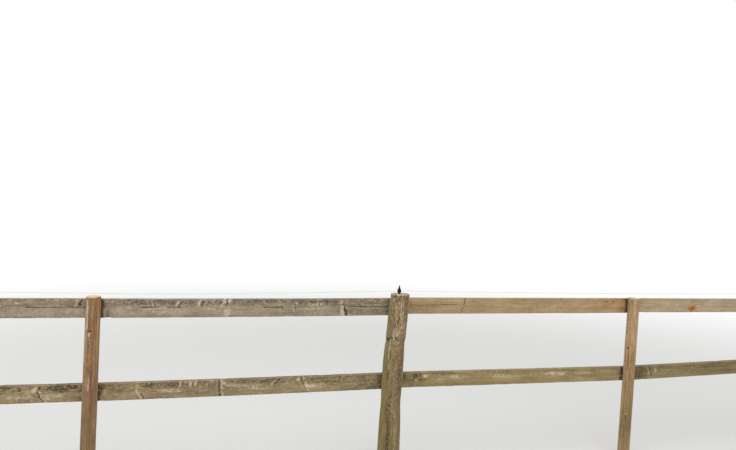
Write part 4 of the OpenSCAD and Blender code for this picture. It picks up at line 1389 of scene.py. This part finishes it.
def cut_face(name, light, dark, ring_gap, age):
    """Sawn end: rings, pores, saw scratches and dark checks that start at the rim."""
    s = Shader(name)
    grain, marks, growth = s.attribute("grain"), s.attribute("marks"), s.attribute("growth")
    crack, grime, ring = marks.part(1), marks.part(2), growth.part(0)
    wobble = s.noise(grain.times((60, 60, 1)), 3, 0.6)
    late = (ring * (TURN / ring_gap) + wobble * 1.8).sine().between(-0.2, 1.0)
    pore = s.noise(grain.times((900, 900, 1)), 3, 0.6)
    scratch = s.noise(grain.times((60, 900, 1)), 3, 0.6)
    damp = s.noise(grain.times((40, 40, 1)), 4, 0.6)
    gap = (crack + (pore - 0.5) * 0.2).between(0.2, 0.6)
    colour = s.layered(
        light,
        (damp.between(0.35, 0.75) * (0.2 + 0.45 * age), dark),
        (late * (0.18 + 0.25 * age), toned(dark, 0.66)),
        (scratch.between(0.55, 0.8) * 0.25, toned(light, 1.2)),
        (gap.most(grime * 0.4 * age) * 0.9, CHECK_DARK))
    relief = pore * 0.4 + (1 - late) * 0.4 + scratch * 0.4
    return s.finish({
        "Base Color": colour, "Roughness": 0.95 - late * 0.1,
        "Normal": s.bump(relief, 0.5 * MM), "Specular IOR Level": 0.2})


# Age, coarseness of the weathering, and kerf marks in radians a metre
RAIL_TIMBERS = {
    "grey": (1.0, 0.9, 900), "tan": (0.2, 1.3, 1100), "pale": (0.2, 1.3, 1100),
    "dun": (1.0, 1.2, 900), "damp": (0.7, 0.6, 1000),
}
RAIL_LEAN = (-0.75, 0.0, 0.0)  # slant of the fibres that a saw has torn
# Age, and the name of its colour in the settings
POST_TIMBERS = {"old": (1.0, "old"), "brown": (0.25, "brown"), "leaning": (0.3, "tan")}
FINISHES = {}


def make_finishes():
    """Two materials for each timber: its face and its cut end."""
    rails, posts = bpy.context.scene.fence_rails, bpy.context.scene.fence_posts

    def shades(group, colour):
        return list(getattr(group, colour)), list(getattr(group, colour + "_dark"))

    def cut(age):
        return list(posts.cut_old if age > 0.5 else posts.cut_fresh)

    for timber, (age, coarse, saw) in RAIL_TIMBERS.items():
        light, dark = shades(rails, timber)
        board = Timber(
            timber + "_rail_face", light, dark, rails.ring_gap, age, coarse, RAIL_LEAN)
        FINISHES[timber] = (
            board.face((0.5 + 0.4 * age) * MM, saw),
            cut_face(timber + "_rail_end", cut(age), dark, rails.ring_gap, age))
    for timber, (age, colour) in POST_TIMBERS.items():
        light, dark = shades(posts, colour)
        trunk = Timber(timber + "_post_skin", light, dark, posts.ring_gap, age)
        FINISHES[timber] = (
            trunk.face((0.5 + 0.8 * age) * MM),
            cut_face(timber + "_post_head", cut(age), dark, posts.ring_gap, age))


def build_wood(skin, name, cuts, timber, node):
    """Makes a wooden piece from its skin and puts it in its node's place."""
    if not FINISHES:
        make_finishes()
    piece = skin.mesh(name, cuts)
    for material in FINISHES[timber]:
        piece.data.materials.append(material)
    dress(piece, node)


def dress(piece, node):
    """Puts a finished piece in its node's place."""
    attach(piece, "root")
    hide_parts(node)


def coat(node, material):
    """Gives a construction node its finish."""
    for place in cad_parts[node].material_slots:
        place.material = material


def dull_plastic(colour):
    """Black plastic, dulled and dusty from the sun."""
    s = Shader("sun_dulled_plastic")
    place = s.place()
    grains = s.noise(place.times((900, 900, 900)), 4, 0.6)
    dust = s.noise(place.times((160, 160, 60)), 4, 0.65)
    chalk = dust.between(0.5, 0.75) * 0.10
    return s.finish({
        "Base Color": s.blend(chalk, colour, paint("#5b5a56")), "Roughness": 0.5 + chalk,
        "Normal": s.bump(grains * 0.5 + dust, 0.15 * MM, 0.6), "Specular IOR Level": 0.12})


def rusty_steel(colour):
    """Steel under flaking rust."""
    s = Shader("rusty_steel")
    place = s.place()
    flake = s.noise(place.times((700, 700, 700)), 5, 0.7)
    patch = s.noise(place.times((220, 220, 220)), 4, 0.6)
    mixed = s.layered(
        toned(colour, 0.45), (flake.between(0.35, 0.7), colour),
        (patch.between(0.52, 0.68) * 0.8, paint("#c4732f")))
    bare = patch.between(0.62, 0.70) * 0.3
    return s.finish({
        "Base Color": mixed, "Metallic": bare, "Roughness": 0.85 - bare,
        "Normal": s.bump(flake, 0.2 * MM, 0.9)})


def polymer_filament(colour):
    """Pale polymer strand, greyed and greened in its hollows."""
    s = Shader("polymer_filament")
    place = s.place()
    fine = s.noise(place.times((500, 2600, 2600)), 3, 0.6)
    tired = s.noise(place.times((9, 200, 200)), 4, 0.6)
    mixed = s.layered(
        colour, (tired.between(0.45, 0.7) * 0.5, paint("#a3ab92")),
        (fine.between(0.5, 0.75) * 0.4, paint("#8d9582")))
    return s.finish({
        "Base Color": mixed, "Roughness": 0.5 + fine * 0.3,
        "Normal": s.bump(fine, 0.1 * MM, 0.7)})


# Geometry Nodes

class Tree(Nodes):
    """A Geometry Nodes tree under construction, with named inputs."""

    def __init__(self, name):
        super().__init__(bpy.data.node_groups.new(name, "GeometryNodeTree"))
        for way in ("INPUT", "OUTPUT"):
            self.tree.interface.new_socket(
                "Geometry", in_out=way, socket_type="NodeSocketGeometry")
        self.start = self.add("NodeGroupInput")
        self.shape = Wire(self, self.start.outputs["Geometry"])

    def value(self, name, kind="NodeSocketFloat"):
        """A named input of the tree."""
        self.tree.interface.new_socket(name, in_out="INPUT", socket_type=kind)
        return Wire(self, self.start.outputs[name])

    def close(self, geometry, material):
        real = self.node("GeometryNodeRealizeInstances", {}, {0: geometry})
        coated = self.node("GeometryNodeSetMaterial", {}, {0: real, "Material": material})
        self.add("NodeGroupOutput", {}, {0: coated})

    def run(self, name, mesh, values):
        """Evaluates the tree on a mesh and returns the plain result."""
        holder = placed(name + "_guide", mesh)
        modifier = holder.modifiers.new("build", "NODES")
        modifier.node_group = self.tree
        for item in self.tree.interface.items_tree:
            if item.in_out == "INPUT" and item.name in values:
                modifier[item.identifier] = values[item.name]
        graph = bpy.context.evaluated_depsgraph_get()
        made = bpy.data.meshes.new_from_object(holder.evaluated_get(graph))
        made.name = name
        holder.modifiers.remove(modifier)
        bpy.data.objects.remove(holder)
        return placed(name, made)


def strand_route(node):
    """Middle points of a strand's construction solid from end to end, and its radius."""
    points = corner_points(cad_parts[node].data)
    stations = np.unique(points[:, 0].round(4))
    rings = [points[np.abs(points[:, 0] - x) < 1e-4] for x in stations]
    return np.array([ring.mean(0) for ring in rings]), np.ptp(rings[0][:, 1]) / 2


def twisted_strand(node, material, twist):
    """Three lobes twisted along the strand's route."""
    sides, lobes, hollow = 12, 3, 0.14
    rings_per_twist = 10
    route, radius = strand_route(node)
    length = float(np.linalg.norm(np.diff(route, axis=0), axis=1).sum())
    mesh = bpy.data.meshes.new(node + "_route")
    mesh.from_pydata(route.tolist(), [(k, k + 1) for k in range(len(route) - 1)], [])
    t = Tree("strand_twister")
    radius_in, twist_in = t.value("Radius"), t.value("Twist")
    count_in = t.value("Count", "NodeSocketInt")
    path = t.node("GeometryNodeMeshToCurve", {}, {0: t.shape})
    fine = t.node("GeometryNodeResampleCurve", {}, {"Curve": path, "Count": count_in})
    along = t.node("GeometryNodeSplineParameter", output="Length")
    wound = t.node(
        "GeometryNodeSetCurveTilt", {}, {"Curve": fine, "Tilt": along / twist_in * TURN})
    ring = t.node(
        "GeometryNodeCurvePrimitiveCircle", {"mode": "RADIUS"},
        {"Resolution": sides, "Radius": 1.0})
    share = t.node("GeometryNodeSplineParameter", output="Factor")
    size = (share * (lobes * TURN)).cosine() * hollow + (1 - hollow)
    place = t.node("GeometryNodeInputPosition")
    profile = t.node("GeometryNodeSetPosition", {}, {
        "Geometry": ring, "Position": place.scaled(size * radius_in)})
    tube = t.node("GeometryNodeCurveToMesh", {}, {
        "Curve": wound, "Profile Curve": profile, "Fill Caps": True})
    t.close(tube, material)
    return t.run(node + "_twist", mesh, {
        "Radius": radius, "Twist": twist, "Count": int(length / twist * rings_per_twist)})


def nail_heads(material, radius):
    """Low domed nail heads, each turned and sized a little differently."""
    sides, smallest, largest = 16, 0.85, 1.1
    mesh = bpy.data.meshes.new("nail_places")
    mesh.from_pydata([place for node in RAILS for place in RailForm(node).nails()], [], [])
    t = Tree("nail_driver")
    radius_in, seed_in = t.value("Radius"), t.value("Seed", "NodeSocketInt")
    rim = t.node("GeometryNodeMeshCone", {"fill_type": "NGON"}, {
        "Vertices": sides, "Side Segments": 2, "Fill Segments": 1,
        "Radius Top": 0.84, "Radius Bottom": 1.0, "Depth": 0.34})
    crown = t.node(
        "GeometryNodeMeshUVSphere", {}, {"Segments": sides, "Rings": 8, "Radius": 0.80})
    flat = t.node("GeometryNodeTransform", {}, {
        "Geometry": crown, "Translation": (0, 0, 0.30), "Scale": (1, 1, 0.2)})
    head = t.add("GeometryNodeJoinGeometry", {}, {0: rim})
    t.feed(head, {0: flat})
    size = t.node(
        "FunctionNodeRandomValue", {"data_type": "FLOAT"},
        {2: smallest, 3: largest, "Seed": seed_in}, output=1)
    lean, back = 0.10, -math.pi / 2
    tilt = t.node("FunctionNodeRandomValue", {"data_type": "FLOAT_VECTOR"}, {
        0: (back - lean, -lean, -lean), 1: (back + lean, lean, lean), "Seed": seed_in})
    many = t.node("GeometryNodeInstanceOnPoints", {}, {
        "Points": t.shape, "Instance": Wire(t, head.outputs[0]), "Rotation": tilt,
        "Scale": size * radius_in})
    sunk = t.node("GeometryNodeTranslateInstances", {}, {
        "Instances": many, "Translation": (0, -NAIL_SINK, 0), "Local Space": False})
    t.close(sunk, material)
    return t.run("nail_heads", mesh, {"Radius": radius, "Seed": 11})


# Operators

class FENCE_OT_rails(bpy.types.Operator):
    """Build the eight weathered rails over their construction solids"""
    bl_idname = "fence.rails"
    bl_label = "Rails"

    def execute(self, context):
        for node, looks in RAILS.items():
            skin = rail_skin(node, looks, context.scene.fence_rails)
            cuts = (END_LOOPS, END_LOOPS)
            build_wood(skin, node + "_board", cuts, RAIL_STATE[node][0], node)
        return {"FINISHED"}


class FENCE_OT_posts(bpy.types.Operator):
    """Build the five round posts over their construction solids"""
    bl_idname = "fence.posts"
    bl_label = "Posts"

    def execute(self, context):
        for node, looks in POSTS.items():
            skin = post_skin(node, looks, context.scene.fence_posts)
            cuts = (len(FOOT_SHARES), HEAD_LOOPS + 2)
            build_wood(skin, node + "_trunk", cuts, looks["timber"], node)
        return {"FINISHED"}


class FENCE_OT_insulators(bpy.types.Operator):
    """Finish the bulb insulators and their rusty pins"""
    bl_idname = "fence.insulators"
    bl_label = "Insulators"

    def execute(self, context):
        group = context.scene.fence_fittings
        plastic, rust = dull_plastic(list(group.plastic)), rusty_steel(list(group.rust))
        for side in ("left", "middle", "right"):
            coat(side + "_insulator", plastic)
            coat(side + "_insulator_pin", rust)
        return {"FINISHED"}


class FENCE_OT_strand(bpy.types.Operator):
    """Twist the two spans of the electric strand and finish the knots at their ends"""
    bl_idname = "fence.strand"
    bl_label = "Strand"

    def execute(self, context):
        group = context.scene.fence_fittings
        filament = polymer_filament(list(group.strand))
        for side in ("left", "right"):
            node = side + "_strand"
            dress(twisted_strand(node, filament, group.twist), node)
            coat(side + "_strand_knot", filament)
        return {"FINISHED"}


class FENCE_OT_nails(bpy.types.Operator):
    """Drive two nails through each rail end into its post"""
    bl_idname = "fence.nails"
    bl_label = "Nails"

    def execute(self, context):
        group = context.scene.fence_fittings
        piece = nail_heads(rusty_steel(list(group.rust)), group.nail_head)
        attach(piece, "root")
        return {"FINISHED"}


class FENCE_OT_stage(bpy.types.Operator):
    """Set the floor, the soft studio light and the camera"""
    bl_idname = "fence.stage"
    bl_label = "Stage"

    def execute(self, context):
        group = context.scene.fence_stage
        stage_floor(group)
        stage_light(context.scene, group)
        stage_camera(context.scene, group)
        return {"FINISHED"}


# Stage

FLOOR_REACH = 60.0
FLOOR_FADE = (2.5, 12.0)  # distances at which the floor begins to whiten and is white
LAMP_PLACE, LAMP_AIM = Vector((-1.5, -2.5, 5.5)), Vector((0, 0, 0.6))
LAMP_SIZE = (9, 6)


def seen(nodes):
    """1 for what the camera sees, directly or in gloss or glass."""
    ways = [nodes.node("ShaderNodeLightPath", output=name)
            for name in ("Is Camera Ray", "Is Glossy Ray", "Is Transmission Ray")]
    return (ways[0] + ways[1] + ways[2]).least(1)


def stage_floor(group):
    """A pale floor that fades into the white background far from the fence."""
    mesh = bpy.data.meshes.new("studio_floor")
    far = FLOOR_REACH
    mesh.from_pydata(
        [(-far, -far, 0), (far, -far, 0), (far, far, 0), (-far, far, 0)], [], [(0, 1, 2, 3)])
    s = Shader("pale_floor")
    mesh.materials.append(s.finish({"Base Color": (*group.floor, 1), "Roughness": 0.9}))
    distance = s.node(
        "ShaderNodeVectorMath", {"operation": "LENGTH"}, {0: s.place()}, output="Value")
    fade = distance.between(*FLOOR_FADE) * seen(s)
    glow = s.node("ShaderNodeEmission", {}, {"Color": (1, 1, 1, 1), "Strength": 1.0})
    mixed = s.node(
        "ShaderNodeMixShader", {}, {0: fade, 1: Wire(s, s.surface.outputs[0]), 2: glow})
    s.feed(s.tree.nodes["Material Output"], {"Surface": mixed})
    placed("studio_floor", mesh)


def stage_light(scene, group):
    """An even sky, white to the camera, and a wide lamp overhead."""
    world = bpy.data.worlds.new("studio_sky")
    world.use_nodes = True
    scene.world = world
    sky = Nodes(world.node_tree)
    sky.feed(world.node_tree.nodes["Background"], {
        "Color": (1, 1, 1, 1), "Strength": seen(sky) * (1 - group.sky) + group.sky})
    lamp = bpy.data.lights.new("wide_lamp", "AREA")
    lamp.shape = "RECTANGLE"
    lamp.size, lamp.size_y = LAMP_SIZE
    lamp.energy = group.lamp
    thing = placed("wide_lamp", lamp)
    thing.location = LAMP_PLACE
    thing.rotation_euler = (LAMP_AIM - LAMP_PLACE).to_track_quat("-Z", "Y").to_euler()


def stage_camera(scene, group):
    heading, pitch, roll = group.heading, group.pitch, group.roll
    level = Vector((math.sin(heading), math.cos(heading), 0))
    side = Vector((math.cos(heading), -math.sin(heading), 0))
    up = Vector((0, 0, 1))
    ahead = level * math.cos(pitch) - up * math.sin(pitch)
    above = up * math.cos(pitch) + level * math.sin(pitch)
    right = side * math.cos(roll) + above * math.sin(roll)
    top = above * math.cos(roll) - side * math.sin(roll)
    camera = bpy.data.cameras.new("photo_camera")
    camera.lens = group.focal
    camera.sensor_width = 36
    thing = placed("photo_camera", camera)
    turn = Matrix((right, top, -ahead)).transposed().to_4x4()
    thing.matrix_world = Matrix.Translation(Vector(group.camera_place)) @ turn
    scene.camera = thing
    scene.view_settings.view_transform = "Standard"


class FENCE_PT_sidebar(bpy.types.Panel):
    """Lists the steps that build the fence"""
    bl_label = "Paddock Fence"
    bl_idname = "FENCE_PT_sidebar"
    bl_space_type = "VIEW_3D"
    bl_region_type = "UI"
    bl_category = "Fence"

    def draw(self, context):
        for step in STEPS:
            self.layout.operator("fence." + step)


STEPS = ["rails", "posts", "insulators", "strand", "nails", "stage"]
GROUPS = {
    "fence_rails": FenceRails, "fence_posts": FencePosts,
    "fence_fittings": FenceFittings, "fence_stage": FenceStage,
}
CLASSES = [
    *GROUPS.values(), FENCE_OT_rails, FENCE_OT_posts, FENCE_OT_insulators, FENCE_OT_strand,
    FENCE_OT_nails, FENCE_OT_stage, FENCE_PT_sidebar,
]


def register():
    for cls in CLASSES:
        bpy.utils.register_class(cls)
    for name, cls in GROUPS.items():
        setattr(bpy.types.Scene, name, PointerProperty(type=cls))


def unregister():
    for name in GROUPS:
        delattr(bpy.types.Scene, name)
    for cls in reversed(CLASSES):
        bpy.utils.unregister_class(cls)


def main():
    register()
    for step in STEPS:
        getattr(bpy.ops.fence, step)()


if __name__ == "__main__":
    main()
